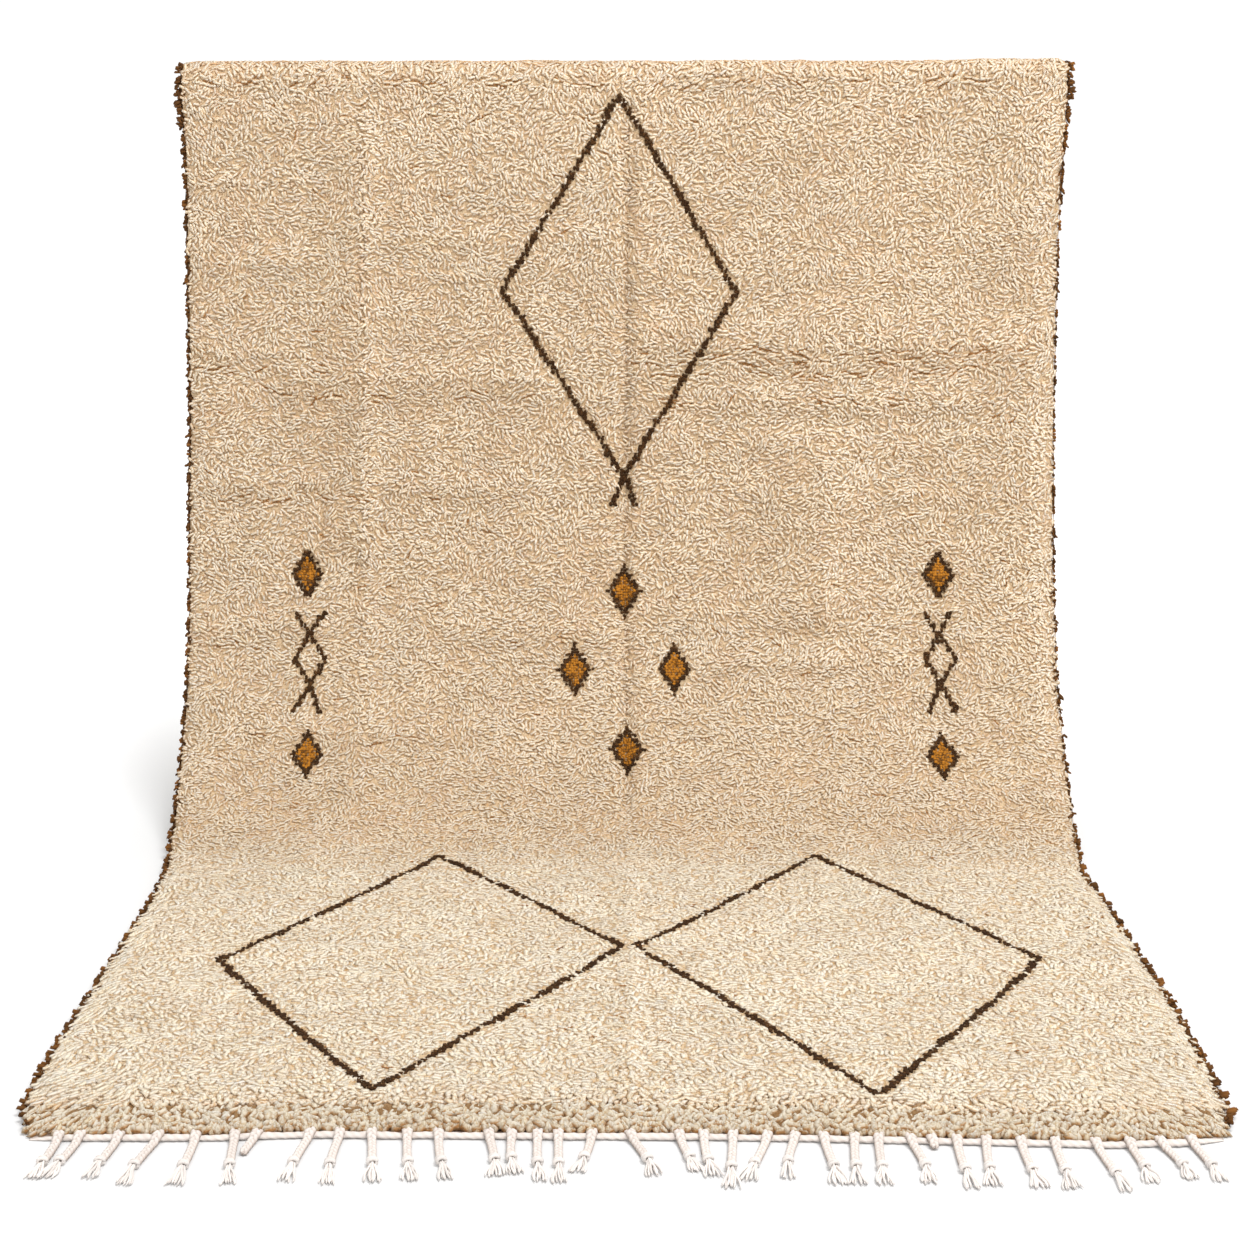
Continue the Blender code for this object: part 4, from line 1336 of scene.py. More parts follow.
def pile_layout(mask, cracks, rng):
    """All combed tufts: (across, down, heading, curl, yarn, reach, distance to the patch's edge)."""
    middles, corner = patch_middles(rng)
    combed = [comb_patch(middle, rng) for middle in middles.reshape(-1, 2)]
    patch = np.repeat(np.arange(len(combed)), [part.shape[1] for part in combed])
    tufts = np.concatenate(combed, axis=1)
    stray = rng.normal(0.0, PATCH_MINGLE, (2, tufts.shape[1]))
    number, edge = nearest_patch(middles, corner, tufts[0] + stray[0], tufts[1] + stray[1])
    inside = (number == patch) & (np.abs(tufts[0]) < HALF_WIDTH)
    inside &= (tufts[1] > PILE_TOP) & (tufts[1] < LAST_TUFT)
    tufts = np.concatenate((tufts, edge[None]))[:, inside]
    count = tufts.shape[1]
    tufts[2] += rng.normal(0.0, HEADING_NOISE, count)
    tufts[3] += rng.normal(0.0, CURL_NOISE, count)
    tufts[5] *= rng.uniform(*REACH_SPREAD, count)

    outward = outward_share(tufts[0], tufts[1])
    target = np.where(tufts[0] > 0.0, OUTWARD_TURN, math.pi - OUTWARD_TURN)
    target = target + rng.normal(0.0, OUTWARD_NOISE, count)
    tufts[2] = np.where(outward > 0.0, turn_between(tufts[2], target, outward), tufts[2])
    tufts[3] *= 1.0 - OUTWARD_STRAIGHT * outward
    tufts[5] *= 1.0 + OUTWARD_LONGER * outward

    strength, direction, distance = nearest_crack(cracks, tufts[0], tufts[1])
    closeness = 1.0 - ease(np.abs(distance), 0.5 * CRACK_REACH, CRACK_REACH)
    tufts[2] = turn_towards(tufts[2], direction, np.minimum(1.0, 2.0 * strength) * closeness * CRACK_COMB)
    tufts[3] *= 1.0 - CRACK_STRAIGHT * (strength > 0.0) * closeness
    clearance = CRACK_GAP / 2 * strength + tufts[4] / 2
    push = np.where(strength > 0.0, np.maximum(clearance - np.abs(distance), 0.0), 0.0) * np.sign(distance)
    tufts[0] -= push * np.sin(direction)
    tufts[1] += push * np.cos(direction)

    x, y, _ = bend_paths(*tufts[:4], tufts[5], TUFT_STATIONS)
    clear = ~(on_motif(mask, x[:, 1:3], unstretch(y[:, 1:3])).any(axis=1))
    tufts = tufts[:, clear]
    return tufts[:, np.argsort(tufts[1])]


def shade_strength(down):
    """How strongly a tuft is shaded where it meets the next ones."""
    return look_up(SHADE_ROWS, down)


def wool_strands(down, reach, shares, sides, first, rng):
    """strand_grid() for the cream wool, narrower where its edges are shaded less."""
    strands = strand_grid(reach, shares, sides, first, rng)
    strands[..., 0] *= shade_strength(down)[:, None]
    return strands


def painted_side_light(across, down):
    """Painted light: the hanging part is a little lighter towards its right edge, and darker towards its
    left one.
    """
    hanging = 1.0 - ease(down, STIFF_FROM, BEND_END)
    return 1.0 + PAINTED_SIDE_LIGHT * hanging * across / HALF_WIDTH


def wool_tints(across, down, shades, rng, crevice=CREVICE_SHADE):
    """Cream of each point of each tuft, with painted light and shade, darker and warmer by its share of
    shade.
    """
    count = len(across)
    tone = rng.uniform(*TONE_SPREAD, count) * (1.0 + TONE_PATCHES * soft_noise(across, down, 0.09, 0.05, 6))
    tone = tone * look_up(PAINTED_LIGHT_ROWS, down) * painted_side_light(across, down)
    warm = rng.normal(0.0, WARMTH_SPREAD, count)
    tuft = CREAM * tone[:, None] * painted_fold_shading(across, down)[:, None] ** FOLD_SHADE_WARMTH
    tuft[:, 0] *= 1.0 + 0.4 * warm
    tuft[:, 2] *= 1.0 - warm
    share = np.clip(shades * shade_strength(down)[:, None], 0.0, 1.0)[..., None]
    return mix(tuft[:, None, :], crevice, share)


def make_pile(mask, wool):
    """The cream pile: combed tufts in several pieces down the rug, fillers, and roots darkened as painted
    shade in the cracks.
    """
    rng = np.random.default_rng(20)
    cracks = crack_lines(rng)
    tufts = pile_layout(mask, cracks, rng)
    across, down, heading, curl, yarn, reach, edge = tufts
    count = len(across)
    x, y, turn = bend_paths(across, down, heading, curl, reach, TUFT_STATIONS)
    y = unstretch(y)
    short = np.where(on_motif(mask, x[:, -1], y[:, -1]), SHORT_TUFT, 1.0)[:, None]
    x = x[:, :1] + (x - x[:, :1]) * short
    y = y[:, :1] + (y - y[:, :1]) * short
    spill = SPILL[0] + SPILL[1] * outward_share(across, down)[:, None]
    x = np.clip(x, -HALF_WIDTH - spill, HALF_WIDTH + spill)
    y = np.clip(y, TOP_END - 0.004, FRONT_EDGE)

    seam = np.exp(-(edge / SEAM_WIDTH) ** 2) * ease(soft_noise(across, down, 0.06, 0.05, 8), -0.5, 0.6)
    top = pile_rise(np.clip(x, -HALF_WIDTH, HALF_WIDTH), y) - yarn[:, None] / 4
    top = top - rng.uniform(0.0, TUFT_SINK, count)[:, None] - SEAM_DEPTH * seam[:, None]
    bed = bed_rise(x, y)
    rise = bed + (top - bed) * TUFT_STATIONS[:, 1]
    radii = yarn[:, None] / 2 * TUFT_STATIONS[:, 2] * rng.uniform(*TUFT_RADII, (count, 1)) * TUFT_FULLNESS
    tints = wool_tints(across, down, TUFT_SHADES + SEAM_SHADE * seam[:, None], rng)
    strands = wool_strands(down, reach, TUFT_STATIONS[:, 0], TUFT_SIDES, FLAT_OUT, rng)
    made = []
    for number, chosen in enumerate(np.array_split(np.arange(count), PILE_PIECES), 1):
        layout = [part[chosen] for part in (x, y, rise, turn, radii, tints, strands)]
        made.append(make_tufts(f"pile_{number}", *layout, wool))
    made.append(make_fillers(*fill_holes(tufts, mask, rng), mask, wool, rng))
    made.append(make_crack_shade_roots(*crack_shade_roots(cracks, rng), wool, rng))
    return made


def make_fillers(across, down, mask, wool, rng):
    """Short tufts in the holes between the combed ones."""
    count = len(across)
    yarn, reach = (look_up(PILE_ROWS, down, column) for column in (1, 4))
    reach = reach * FILL_REACH
    heading = rng.uniform(0.0, 2.0 * math.pi, count)
    x, y, turn = bend_paths(across, down, heading, rng.normal(0.0, 0.6, count), reach, FILL_STATIONS)
    y = unstretch(y)
    clear = ~(on_motif(mask, x[:, 1:], y[:, 1:]).any(axis=1) | on_motif(mask, x[:, 0], y[:, 0]))
    top = pile_rise(np.clip(x, -HALF_WIDTH, HALF_WIDTH), y) - yarn[:, None] / 3
    bed = bed_rise(x, y)
    rise = bed + (top - bed) * FILL_STATIONS[:, 1]
    radii = yarn[:, None] / 2 * FILL_STATIONS[:, 2] * rng.uniform(*FILL_RADII, (count, 1)) * TUFT_FULLNESS
    tints = wool_tints(across, down, np.tile(FILL_SHADES, (count, 1)), rng)
    strands = wool_strands(down, reach, FILL_STATIONS[:, 0], TUFT_SIDES, FLAT_OUT, rng)
    layout = [part[clear] for part in (x, y, rise, turn, radii, tints, strands)]
    return make_tufts("pile_fillers", *layout, wool)


def make_crack_shade_roots(across, down, heading, strength, wool, rng):
    """Roots at the bottom of the cracks, darkened as painted shade."""
    count = len(across)
    reach = np.full(count, CRACK_LENGTH)
    x, y, turn = bend_paths(across, down, heading, rng.normal(0.0, 0.2, count), reach, FILL_STATIONS)
    bed = bed_rise(x, y)
    low, gain = CRACK_RISE
    rise = bed + (low + gain * FILL_STATIONS[:, 1])
    radii = CRACK_YARN / 2 * FILL_STATIONS[:, 2] * rng.uniform(*CRACK_RADII, (count, 1))
    share = (CRACK_PALEST + (1.0 - CRACK_PALEST) * strength)[:, None, None]
    tints = np.broadcast_to(mix(CREVICE_SHADE, CRACK_SHADE, share), (count, 2 + TUFT_SIDES, 3))
    strands = strand_grid(reach, FILL_STATIONS[:, 0], TUFT_SIDES, FLAT_OUT, rng)
    return make_tufts("crack_shade_roots", x, y, rise, turn, radii, tints, strands, wool)


def make_front_locks(wool):
    """The thick curled locks of the last rows, which hang over the cotton band."""
    rng = np.random.default_rng(24)
    rows = []
    for before, fall in LOCK_ROWS:
        across = np.arange(-HALF_WIDTH + LOCK_MARGIN, HALF_WIDTH - LOCK_MARGIN, LOCK_PITCH)
        stray = LOCK_PITCH * rng.uniform(-0.35, 0.35, len(across))
        across = across + stray + LOCK_PITCH / 2 * (len(rows) % 2)
        down = FRONT_EDGE - before + LOCK_SPREAD_DOWN * rng.uniform(-1.0, 1.0, len(across))
        rows.append(np.stack((across, down, np.full(len(across), fall))))
    across, down, fall = np.concatenate(rows, axis=1)
    across = np.clip(across, -HALF_WIDTH + LOCK_MARGIN, HALF_WIDTH - LOCK_MARGIN)
    count = len(across)
    heading = math.pi / 2 + rng.normal(0.0, LOCK_HEADING_NOISE, count)
    outward = ease(np.abs(across), 0.60, 0.76)
    target = np.where(across > 0.0, OUTWARD_TURN, math.pi - OUTWARD_TURN)
    heading = mix(heading, target + rng.normal(0.0, LOCK_OUTWARD_NOISE, count), outward)
    reach = rng.uniform(*LOCK_REACH, count) * (1.0 + 0.5 * outward)
    curl = rng.normal(0.0, LOCK_CURL_NOISE, count)
    x, y, turn = bend_paths(across, down, heading, curl, reach, STUB_STATIONS)
    x = np.clip(x, -HALF_WIDTH - LOCK_SPILL, HALF_WIDTH + LOCK_SPILL)
    y = np.clip(y, TOP_END, FRONT_EDGE + LOCK_OVERHANG)
    radii = LOCK_RADIUS * STUB_STATIONS[:, 2] * rng.uniform(*LOCK_RADII, (count, 1))
    radii = radii * (1.0 - 0.2 * outward[:, None])
    edge_y = np.minimum(y, FRONT_EDGE)
    top = pile_rise(np.clip(x, -HALF_WIDTH, HALF_WIDTH), edge_y) - LOCK_RADIUS * 0.9
    top = top - rng.uniform(0.0, LOCK_SINK, (count, 1))
    bed = bed_rise(x, edge_y) - 0.002
    rise = bed + (top - bed) * STUB_STATIONS[:, 1]
    rise = rise * (1.0 - fall[:, None] * LOCK_FALLS)
    rise = rise * (1.0 - LOCK_DROOP * ease(y, FRONT_EDGE, FRONT_EDGE + LOCK_OVERHANG))
    rise = np.maximum(rise, radii + 0.0005)
    swept = sweep(place(x, y, rise), asides_of(turn, y), radii, LOCK_SIDES)
    root_shade, tip_shade = LOCK_END_SHADES
    shades = np.concatenate(((root_shade,), np.tile(LOCK_SHADES, 2), (tip_shade,)))
    shades = np.tile(shades, (count, 1)) + LOCK_FALL_SHADE * fall[:, None]
    tints = LOCK_SHADE_TONE * wool_tints(across, down, shades, rng, LOCK_CREVICE_SHADE)
    strands = wool_strands(down, reach, STUB_STATIONS[:, 0], LOCK_SIDES, math.pi / 2, rng)
    strands[..., 0] *= LOCK_LIT_WIDTH
    return make_mesh("front_locks", *swept, tints, (wool,), strands=strands)


def make_motif(name, knots, colours, other_share, wool, seed):
    """Upright tufts of one colour of the motifs: one for a fine knot, and two rows for one of a line."""
    rng = np.random.default_rng(seed)
    across = []
    down = []
    for middle, row, width, colour in knots:
        fine = colour != "brown"
        columns = 1 if fine else max(1, round(width / STUB_PITCH))
        for column in range(columns):
            for half in ((0.0,) if fine else STUB_ROWS):
                across.append(middle + (column - (columns - 1) / 2) * width / columns)
                down.append(row + half * KNOT_DOWN)
    across = np.array(across) + rng.normal(0.0, STUB_SPREAD, len(across))
    down = np.array(down) + rng.normal(0.0, STUB_SPREAD, len(down))
    count = len(across)
    heading = rng.uniform(0.0, 2.0 * math.pi, count)
    reach = rng.uniform(*STUB_REACH, count)
    x, y, turn = bend_paths(across, down, heading, rng.normal(0.0, 0.6, count), reach, STUB_STATIONS)
    top = pile_rise(x, y) - STUB_SINK
    bed = bed_rise(x, y)
    rise = bed + (top - bed) * (STUB_STATIONS[:, 1] + rng.uniform(*STUB_UNEVEN, (count, 1)))
    radii = STUB_RADIUS * STUB_STATIONS[:, 2] * rng.uniform(*STUB_RADII, (count, 1))
    other = rng.uniform(0.0, 1.0, (count, 1)) < other_share
    share = np.where(other, rng.uniform(0.55, 1.0, (count, 1)), rng.uniform(0.0, 0.30, (count, 1)))
    tints = station_values(mix(*colours, share)[:, None, :] * (1.0 - STUB_ROOT_SHADES), TUFT_SIDES)
    strands = strand_grid(reach, STUB_STATIONS[:, 0], TUFT_SIDES, FLAT_OUT, rng)
    return make_tufts(name, x, y, rise, turn, radii, tints, strands, wool)


def make_back_knots(knots, wool):
    """The knots of the motifs as they show on the back: short flat beads across the rug."""
    rng = np.random.default_rng(26)
    shown = [knot for knot in knots if knot[1] < BACK_SHOWS_TO]
    across, down, width = np.array([knot[:3] for knot in shown]).T
    count = len(shown)
    browns = (DARK_BROWN, MID_BROWN)
    pairs = np.array([(OCHRE_DARK, OCHRE) if knot[3] == "ochre" else browns for knot in shown])
    tints = mix(pairs[:, 0], pairs[:, 1], rng.uniform(0.3, 1.0, (count, 1)))
    reach = width + BACK_WIDER
    x = across[:, None] + reach[:, None] * (BACK_STATIONS[:, 0] - 0.5)
    y = down[:, None] + rng.normal(0.0, 0.0005, (count, 1)) * np.ones(3)
    raised = BACK_STATIONS[:, 1] * BACK_RAISE * rng.uniform(0.0, 1.0, (count, 1))
    extra, reach_of_extra = BACK_VALLEY
    rise = back_rise(x, y) + BACK_DEPTH - raised
    rise = rise - extra * fold_shape(x - DOWN_FOLDS[0][0], reach_of_extra, reach_of_extra)
    radii = BACK_STATIONS[:, 2] * rng.uniform(*BACK_RADII, (count, 1))
    swept = sweep(place(x, y, rise), run_direction(y), radii, TUFT_SIDES)
    tints = np.repeat(tints[:, None, :], swept[0].shape[1], axis=1)
    strands = strand_grid(reach, BACK_STATIONS[:, 0], TUFT_SIDES, math.pi / 2, rng)
    return make_mesh("motif_back", *swept, tints, (wool,), strands=strands)


# ================================================================ the side edges

def edge_place(side, down, outward, rise):
    """Points beside the pile's edge."""
    across = side * HALF_WIDTH * np.ones_like(down)
    points = place(across, down, back_rise(across, down) + rise)
    points[..., 0] += side * outward
    return points


def cluster_middles(seed):
    """Middle and length of each cluster of wool along an edge, as in the part's source."""
    chance = random.Random(seed)
    rows = []
    down = TOP_END + 0.008
    while down < FRONT_EDGE - TUFT_LENGTH:
        length = TUFT_LENGTH * chance.uniform(0.75, 1.25)
        rows.append((down + length / 2, length))
        down += TUFT_PITCH * chance.uniform(0.75, 1.25)
    return rows


def make_edge_cord(name, side, seed, wool):
    """The bound warps of one side edge, thin where the cotton shows."""
    down = np.arange(TOP_END, FRONT_EDGE, CORD_STEP)
    rng = np.random.default_rng(seed)
    cover = look_up(COVER_ROWS, down, 1 if side < 0 else 2)
    thin = soft_noise(down, np.zeros_like(down), 0.030, 1.0, seed)
    bare = ease(thin, 1.3 * cover - 0.9, 1.3 * cover - 0.6)
    radius = CORD_RADIUS * (1.0 - CORD_THINNING * bare) * rng.uniform(0.85, 1.15, len(down))
    outward = CORD_OUTSET + 0.0008 * soft_noise(down, down, 0.02, 0.5, seed + 1)
    height = CORD_HEIGHT + 0.001 * soft_noise(down, down, 0.03, 0.5, seed + 2)
    path = edge_place(side, down, outward, height)
    aside = np.tile(ASIDE, (len(down), 1))
    radius[0] = 0.0
    radius[-1] = 0.0
    swept = sweep(path[None], aside[None], radius[None], CORD_SIDES)
    mottle = rng.uniform(0.0, 1.0, (len(down), 1))
    tints = mix(mix(DARK_BROWN, MID_BROWN, mottle), COTTON * 0.9, bare[:, None])[None]
    shares = np.arange(len(down)) * CORD_STEP
    strands = strand_grid(np.ones(1), shares, CORD_SIDES, math.pi / 2, rng)
    return make_mesh(name, *swept, station_values(tints, CORD_SIDES), (wool,), strands=strands)


def edge_core(side, rng):
    """Tufts that lie along the edge: (down, length, turn from outwards to down, outset, size, rust)."""
    down = np.arange(TOP_END + 0.004, FRONT_EDGE - 0.012, CORE_PITCH)
    count = len(down)
    column = 1 if side < 0 else 2
    cover = look_up(COVER_ROWS, down, column)
    keep = ease(soft_noise(down, down, 0.028, 0.5, 61 + column), -1.0, 1.0) < cover
    upper = CORE_OUTSETS[1] * (1.0 - ease(down, 0.06, 0.22))
    rows = np.stack((
        down,
        rng.uniform(*CORE_REACH, count),
        math.pi / 2 + rng.normal(0.0, CORE_TURN_NOISE, count),
        rng.uniform(0.0, CORE_OUTSETS[0], count) + upper * rng.uniform(0.0, 1.0, count),
        rng.uniform(0.85, 1.15, count),
        rng.uniform(*CORE_RUST[side], count),
    ))
    return rows[:, keep]


def edge_clusters(seed, rng):
    """Bunches of tufts that stand out of the edge, in rows as in edge_core()."""
    rows = []
    for middle, length in cluster_middles(seed):
        between = middle + TUFT_PITCH * rng.uniform(0.35, 0.65)
        spread_between, size_between = BETWEEN_BUNCHES
        bunches = ((middle, length * 0.5, BUNCH_TUFTS, 1.0),
                   (between, spread_between, rng.integers(3, 6), size_between))
        for place_at, spread, number, size in bunches:
            rust = rng.uniform(0.05, 1.0)
            fan = rng.normal(0.15, 0.35)
            for _ in range(number):
                down = place_at + spread * rng.uniform(-1.0, 1.0)
                reach = look_up(EDGE_ROWS, down, 3) * size * rng.uniform(0.75, 1.15)
                turn = fan + rng.normal(0.0, BUNCH_NOISE)
                rows.append((down, reach, turn, 0.001, rng.uniform(0.95, 1.35), rust))
    return np.array(rows).T


def make_edge_tufts(name, side, seed, wool):
    """Brown and rust wool that covers one side edge and stands out of it in bunches."""
    rng = np.random.default_rng(seed)
    core = edge_core(side, rng)
    bunches = edge_clusters(seed, rng)
    bunched = np.concatenate((np.zeros(core.shape[1]), np.ones(bunches.shape[1])))[:, None]
    down, reach, turn, outset, size, rusty = np.concatenate((core, bunches), axis=1)
    down = np.clip(down, TOP_END + 0.002, FRONT_EDGE - 0.004)
    count = len(down)
    full = look_up(FULL_ROWS, down, 1 if side < 0 else 2)
    reach = np.where(bunched[:, 0] > 0.0, reach * full, reach)
    outset = outset * full
    size = size * (0.4 + 0.6 * full)
    shares, heights, widths = EDGE_STATIONS.T
    outward = outset[:, None] + reach[:, None] * shares * np.cos(turn)[:, None]
    along = down[:, None] + reach[:, None] * shares * np.sin(turn)[:, None]
    along = np.clip(along, TOP_END - 0.002, FRONT_EDGE + 0.002)
    bunch_crown = rng.uniform(*BUNCH_CROWNS, (count, 1))
    crown = np.where(bunched > 0.0, bunch_crown, rng.uniform(*CORE_CROWNS, (count, 1)))
    lifted = crown + crest_lift(side * HALF_WIDTH * np.ones_like(along), along)
    rise = np.maximum(EDGE_CLEAR + (lifted - EDGE_CLEAR) * heights, 0.003)
    radii = EDGE_YARN / 2 * widths * size[:, None] * rng.uniform(0.85, 1.15, (count, 1))
    swept = sweep(edge_place(side, along, outward, rise), run_direction(along), radii, EDGE_SIDES)
    dark = rng.uniform(0.0, 1.0, (count, 1))
    tuft = mix(DARK_BROWN, MID_BROWN, dark)[:, None, :]
    rust = rusty[:, None] ** RUST_POWER * rng.uniform(*RUST_SPREAD, (count, 1))
    tints = mix(tuft, RUST, np.clip(rust[:, None, :] * EDGE_RUST, 0.0, 1.0))
    strands = strand_grid(reach, shares, EDGE_SIDES, math.pi / 2, rng)
    return make_mesh(name, *swept, station_values(tints, EDGE_SIDES), (wool,), strands=strands)


# ================================================================ the fringe

def front_place(across, forward, height):
    """Points past the pile's front edge."""
    base = place(across, np.full_like(across, FRONT_EDGE), np.zeros_like(across))
    x = base[..., 0]
    y = base[..., 1] - forward
    return np.stack(np.broadcast_arrays(x, y, height), axis=-1)


def along_noise(across, size, seed):
    """Smooth noise along the band."""
    return soft_noise(across, across, size, 1.0, seed)


def make_band(cotton):
    """Cotton band past the pile: woven flat under it and rolled into a twisted edge."""
    rng = np.random.default_rng(31)
    across = np.arange(-HALF_WIDTH + 0.006, HALF_WIDTH - 0.005, BAND_STEP)
    around = np.linspace(math.radians(150.0), math.radians(-170.0), 13)
    swell = 1.0 + sum(share * along_noise(across, size, seed) for share, size, seed in ROLL_SWELLS)
    swell = swell * ease(HALF_WIDTH - np.abs(across), -0.002, 0.070) ** 0.5
    wander = ROLL_WANDER * along_noise(across, 0.045, 33)
    slip = ROLL_SLIP * along_noise(across, 0.030, 35)[:, None]
    twist = np.sin(2.0 * math.pi * across[:, None] / ROLL_TWIST + 2.0 * around + slip)
    ripple = 1.0 + ROLL_RIPPLE * twist + ROLL_ROUGHNESS * rng.normal(size=twist.shape)
    width = ROLL_HALF_WIDTH * swell[:, None] * ripple
    height = ROLL_HALF_HEIGHT * swell[:, None] * ripple
    forward = BAND_MIDDLE + wander[:, None] + width * np.cos(around)
    rise = ROLL_HALF_HEIGHT * swell[:, None] * 1.05 + height * np.sin(around)
    flat = np.ones((len(across), 1))
    usual, change = ROLL_TONES
    sections = []
    for number, roll in enumerate((forward, np.maximum(rise, 0.0002), usual + change * twist)):
        back, groove, under = (edge[number] * flat for edge in (BAND_BACK, BAND_GROOVE, BAND_UNDER))
        sections.append(np.concatenate((back, groove, roll, under), axis=1))
    forward, rise, tone = sections
    grid_across = np.repeat(across[:, None], forward.shape[1], axis=1)
    points = front_place(grid_across, forward, rise)
    rows, columns = grid_across.shape
    index = np.arange(rows * columns).reshape(rows, columns)
    following = np.roll(index, -1, axis=1)
    quads = np.stack((index[:-1], following[:-1], following[1:], index[1:]), axis=-1).reshape(-1, 4)
    tris = []
    for ring, flip in ((index[0], True), (index[-1], False)):
        for corner in range(1, columns - 1):
            tri = (ring[0], ring[corner], ring[corner + 1])
            tris.append(tri[::-1] if flip else tri)
    tints = COTTON * tone[..., None] ** COTTON_WARMTH
    return make_mesh("end_band", points, quads, np.array(tris), tints, (cotton,))


def strand_line(row, distance, chance_bow):
    """Centre line of one fringe strand on the floor: points, run and sideways directions."""
    across, lean, length, _ = row
    lean = math.radians(lean)
    run = np.array((math.sin(lean), -math.cos(lean), 0.0))
    aside = np.array((math.cos(lean), math.sin(lean), 0.0))
    root = front_place(np.array((across,)), BAND_WIDTH, np.array((0.0,)))[0]
    share = np.clip(distance / length, 0.0, 1.0)
    bow = chance_bow * np.sin(math.pi * share)
    points = root + run * distance[:, None] + aside * bow[:, None]
    points[:, 2] = STRAND_LIFT * (1.0 - ease(distance, 0.0, STRAND_FALL))
    return points, run, aside


def braid_parts(row, bow, rng):
    """The three plies of one braid."""
    length = row[2]
    end = length * (KNOT_AT if row[3] == "braid" else 1.0)
    distance = np.arange(STRAND_START, end, BRAID_STEP)
    centre, _, aside = strand_line(row, distance, bow)
    slim = 1.0 - BRAID_END_SLIM * ease(distance, end - 0.010, end)
    slim = slim * (1.0 + BRAID_START_WIDE * (1.0 - ease(distance, 0.0, 0.020)))
    paths = []
    heights = []
    for ply in range(3):
        phase = 2.0 * math.pi * (distance / BRAID_CYCLE + ply / 3.0) + bow * 900.0
        swing = PLY_SWING * slim * np.sin(phase)
        lift = PLY_RADIUS + PLY_LIFT + PLY_LIFT * np.sin(2.0 * phase)
        path = centre + aside * swing[:, None]
        path[:, 2] += lift
        paths.append(path)
        heights.append(0.5 + 0.5 * np.sin(2.0 * phase))
    paths = np.stack(paths)
    radii = np.full(paths.shape[:2], PLY_RADIUS) * slim
    radii[:, 0] = 0.0
    radii[:, -1] = 0.0
    inner = paths.shape[1] - 2
    # Painted shade: a ply is darker on its underside, where it dips under the others, and at its ends
    lowest_shade_tone, gain = BRAID_HEIGHT_SHADES
    over = np.repeat(lowest_shade_tone + gain * np.stack(heights)[:, 1:-1], PLY_SIDES, axis=1)
    tone = np.tile(PLY_SHADE_TONES, (3, inner)) * over * rng.uniform(0.94, 1.04, (3, 1))
    tone = np.concatenate((np.full((3, 1), 0.6), tone, np.full((3, 1), 0.8)), axis=1)
    swept = sweep(paths, np.broadcast_to(aside, paths.shape), radii, PLY_SIDES)
    return *swept, COTTON * tone[..., None] ** COTTON_WARMTH


def knot_parts(row, bow, rng):
    """Two turns of yarn wrapped round the strand."""
    length = row[2]
    parts = []
    around = np.linspace(0.0, 2.0 * math.pi, 13)
    up = np.array((0.0, 0.0, 1.0))
    for offset, tilt in KNOT_TURNS:
        centre, run, aside = strand_line(row, np.array((KNOT_AT * length + offset,)), bow)
        ring = (np.cos(around)[:, None] * aside * 1.05 + np.sin(around)[:, None] * up * KNOT_FLATNESS)
        ring += np.cos(around)[:, None] * run * tilt * 0.5
        path = centre[0] + KNOT_RADIUS * ring
        path[:, 2] += KNOT_RADIUS * KNOT_FLATNESS + KNOT_YARN
        path = np.concatenate((path[:1] - up * 0.0005, path, path[-1:] - up * 0.0005))[None]
        radii = np.full(path.shape[:2], KNOT_YARN)
        radii[:, (0, -1)] = 0.0
        tints = np.broadcast_to(COTTON * rng.uniform(*KNOT_TONE), path.shape)
        swept = sweep(path, np.broadcast_to(run, path.shape), radii, PLY_SIDES)
        parts.append((*swept, station_values(tints, PLY_SIDES)))
    return parts


def tassel_parts(row, bow, rng):
    """Loose yarns past the knot, which spread and end unevenly."""
    length = row[2]
    start = KNOT_AT * length
    shares = np.linspace(0.0, 1.0, 8)
    paths = []
    for number in range(TASSEL_YARNS):
        spread = (number / (TASSEL_YARNS - 1) - 0.5) * 2.0
        reach = (length - start) * rng.uniform(*TASSEL_REACH)
        centre, _, aside = strand_line(row, start + reach * shares, bow)
        narrow, growth = TASSEL_SPREAD
        sway = spread * (narrow + growth * ease(shares, 0.0, 0.85)) + 0.0018 * rng.normal() * shares
        sway += 0.0009 * np.sin(shares * rng.uniform(4.0, 9.0) + rng.uniform(0.0, 6.0))
        path = centre + aside * sway[:, None]
        lift = rng.uniform(0.0, 0.0045) * (1.0 - 0.6 * shares) + 0.0022 * (1.0 - shares)
        path[:, 2] = TASSEL_YARN_RADIUS + lift + 0.0008 * np.abs(np.sin(shares * 5.0 + number))
        paths.append(path)
    paths = np.stack(paths)
    radii = TASSEL_YARN_RADIUS * rng.uniform(0.85, 1.15, (len(paths), 1)) * np.ones(len(shares))
    radii[:, -2] *= 0.85
    radii[:, 0] = 0.0
    radii[:, -1] = 0.0
    tone = rng.uniform(*TASSEL_TONE, (len(paths), 1, 1))
    tints = np.broadcast_to(COTTON * tone, paths.shape)
    swept = sweep(paths, np.broadcast_to(aside, paths.shape), radii, TASSEL_SIDES)
    return *swept, station_values(tints, TASSEL_SIDES)


def make_fringe(cotton):
    """Braids, their knots and their tassels, each kind as one piece."""
    rng = np.random.default_rng(40)
    braids = []
    knots = []
    tassels = []
    for row in FRINGE_ROWS:
        bow = rng.uniform(-0.004, 0.004)
        braids.append(braid_parts(row, bow, rng))
        if row[3] == "braid":
            knots += knot_parts(row, bow, rng)
            tassels.append(tassel_parts(row, bow, rng))
    made = []
    for name, parts in (("fringe_braids", braids), ("fringe_knots", knots), ("fringe_tassels", tassels)):
        made.append(make_mesh(name, *join_parts(parts), (cotton,)))
    return made


# ================================================================ floor, light and camera

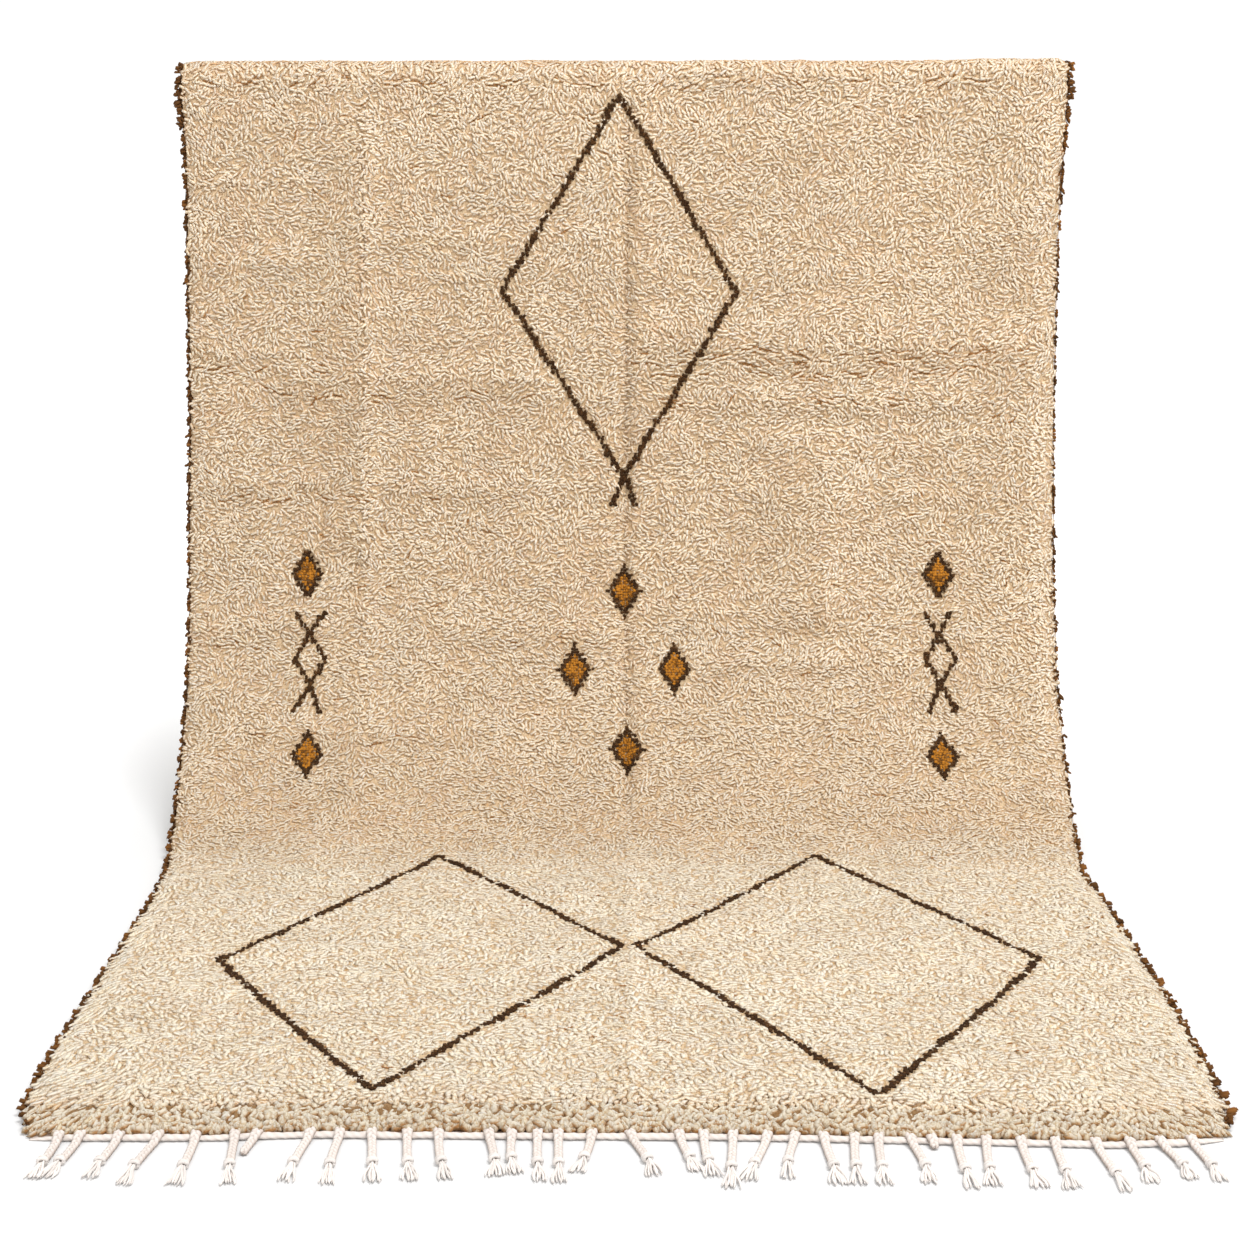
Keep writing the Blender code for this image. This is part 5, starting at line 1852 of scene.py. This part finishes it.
def make_stage():
    """Plain pale floor, and a white dome round it that only the camera sees."""
    bpy.ops.mesh.primitive_plane_add(size=FLOOR_SIDE, location=(0.0, 0.0, -FLOOR_DROP))
    floor = bpy.context.object
    floor.name = "studio_floor"
    floor.data.materials.append(floor_material("studio_white"))

    bpy.ops.mesh.primitive_uv_sphere_add(segments=48, ring_count=24, radius=DOME_RADIUS)
    dome = bpy.context.object
    dome.name = "studio_dome"
    dome.data.materials.append(glow_material("studio_backdrop", DOME_GLOW))
    for ray in ("diffuse", "glossy", "transmission", "shadow"):
        setattr(dome, f"visible_{ray}", False)


def add_area_light(name, place_at, target, size, power):
    """Square soft light that faces its target."""
    data = bpy.data.lights.new(name, "AREA")
    data.size = size
    data.energy = power
    light = bpy.data.objects.new(name, data)
    light.location = place_at
    light.rotation_euler = (Vector(target) - Vector(place_at)).to_track_quat("-Z", "Y").to_euler()
    bpy.context.collection.objects.link(light)


def make_light():
    """Even white surroundings and one large soft key light, high and a little to the right."""
    world = bpy.data.worlds.new("studio_surroundings")
    world.use_nodes = True
    background = world.node_tree.nodes["Background"]
    background.inputs["Color"].default_value = WHITE
    background.inputs["Strength"].default_value = AMBIENT
    bpy.context.scene.world = world
    add_area_light("key_light", KEY_PLACE, KEY_TARGET, KEY_SIZE, KEY_POWER)


def make_camera():
    """Camera at the photograph's place and angle."""
    data = bpy.data.cameras.new("studio_camera")
    data.sensor_width = SENSOR
    data.lens = FOCAL_PIXELS / IMAGE_SIDE * SENSOR
    camera = bpy.data.objects.new("studio_camera", data)
    camera.location = CAMERA_PLACE
    camera.rotation_euler = (math.pi / 2 - CAMERA_PITCH, 0.0, 0.0)
    bpy.context.collection.objects.link(camera)
    bpy.context.scene.camera = camera


def main():
    """The scene and every piece with what it is made of, hiding the imported parts they replace."""
    bpy.context.scene.view_settings.view_transform = "Standard"
    make_camera()
    make_light()
    make_stage()

    cream = fibre_material("cream_wool_pile", roughness=0.92, sheen=0.05, fibre=0.0,
                           contrast=0.11, bump=0.0006, creased=True)
    roots = fibre_material("cream_wool_roots", roughness=0.95, sheen=0.0, fibre=0.0034,
                           contrast=0.45, bump=0.0030, creased=True)
    weave = weave_material("ground_weave", roughness=0.95, specular=0.10)
    brown = fibre_material("brown_wool_pile", roughness=0.95, sheen=0.0, fibre=0.0,
                           contrast=0.30, bump=0.0006)
    ochre = fibre_material("ochre_wool_pile", roughness=0.95, sheen=0.0, fibre=0.0,
                           contrast=0.25, bump=0.0006)
    cotton = fibre_material("white_cotton_yarn", roughness=0.90, sheen=0.05, fibre=0.0012,
                            contrast=0.10, bump=0.0006)

    knots = motif_knots()
    mask = motif_mask(knots)
    ground = make_ground(weave, roots)
    pile = [*make_pile(mask, cream), make_front_locks(cream)]
    lines, outlines, cores = ([knot for knot in knots if knot[3] == colour] for colour in KNOT_COLOURS)
    browns = (DARK_BROWN, MID_BROWN)
    motifs = [
        make_motif("motif_lines", lines, browns, other_share=0.25, wool=brown, seed=21),
        make_motif("motif_outlines", outlines, browns, other_share=0.30, wool=brown, seed=23),
        make_motif("motif_ochre", cores, (OCHRE, OCHRE_DARK), other_share=0.24, wool=ochre, seed=22),
        make_back_knots(knots, brown),
    ]
    left_edge = [
        make_edge_cord("edge_cord_left", side=-1, seed=51, wool=brown),
        make_edge_tufts("edge_tufts_left", side=-1, seed=11, wool=brown),
    ]
    right_edge = [
        make_edge_cord("edge_cord_right", side=1, seed=52, wool=brown),
        make_edge_tufts("edge_tufts_right", side=1, seed=12, wool=brown),
    ]
    band = make_band(cotton)
    fringe = make_fringe(cotton)

    for piece in [ground, *pile]:
        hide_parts("rug_body")
    for piece in left_edge:
        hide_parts("selvedge_left")
    for piece in right_edge:
        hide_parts("selvedge_right")
    for piece in [band, *fringe]:
        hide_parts("fringe_front")
    trim = [*pile, *motifs, *left_edge, *right_edge, band, *fringe]
    for piece in [ground, *trim]:
        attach(piece, "root")


main()
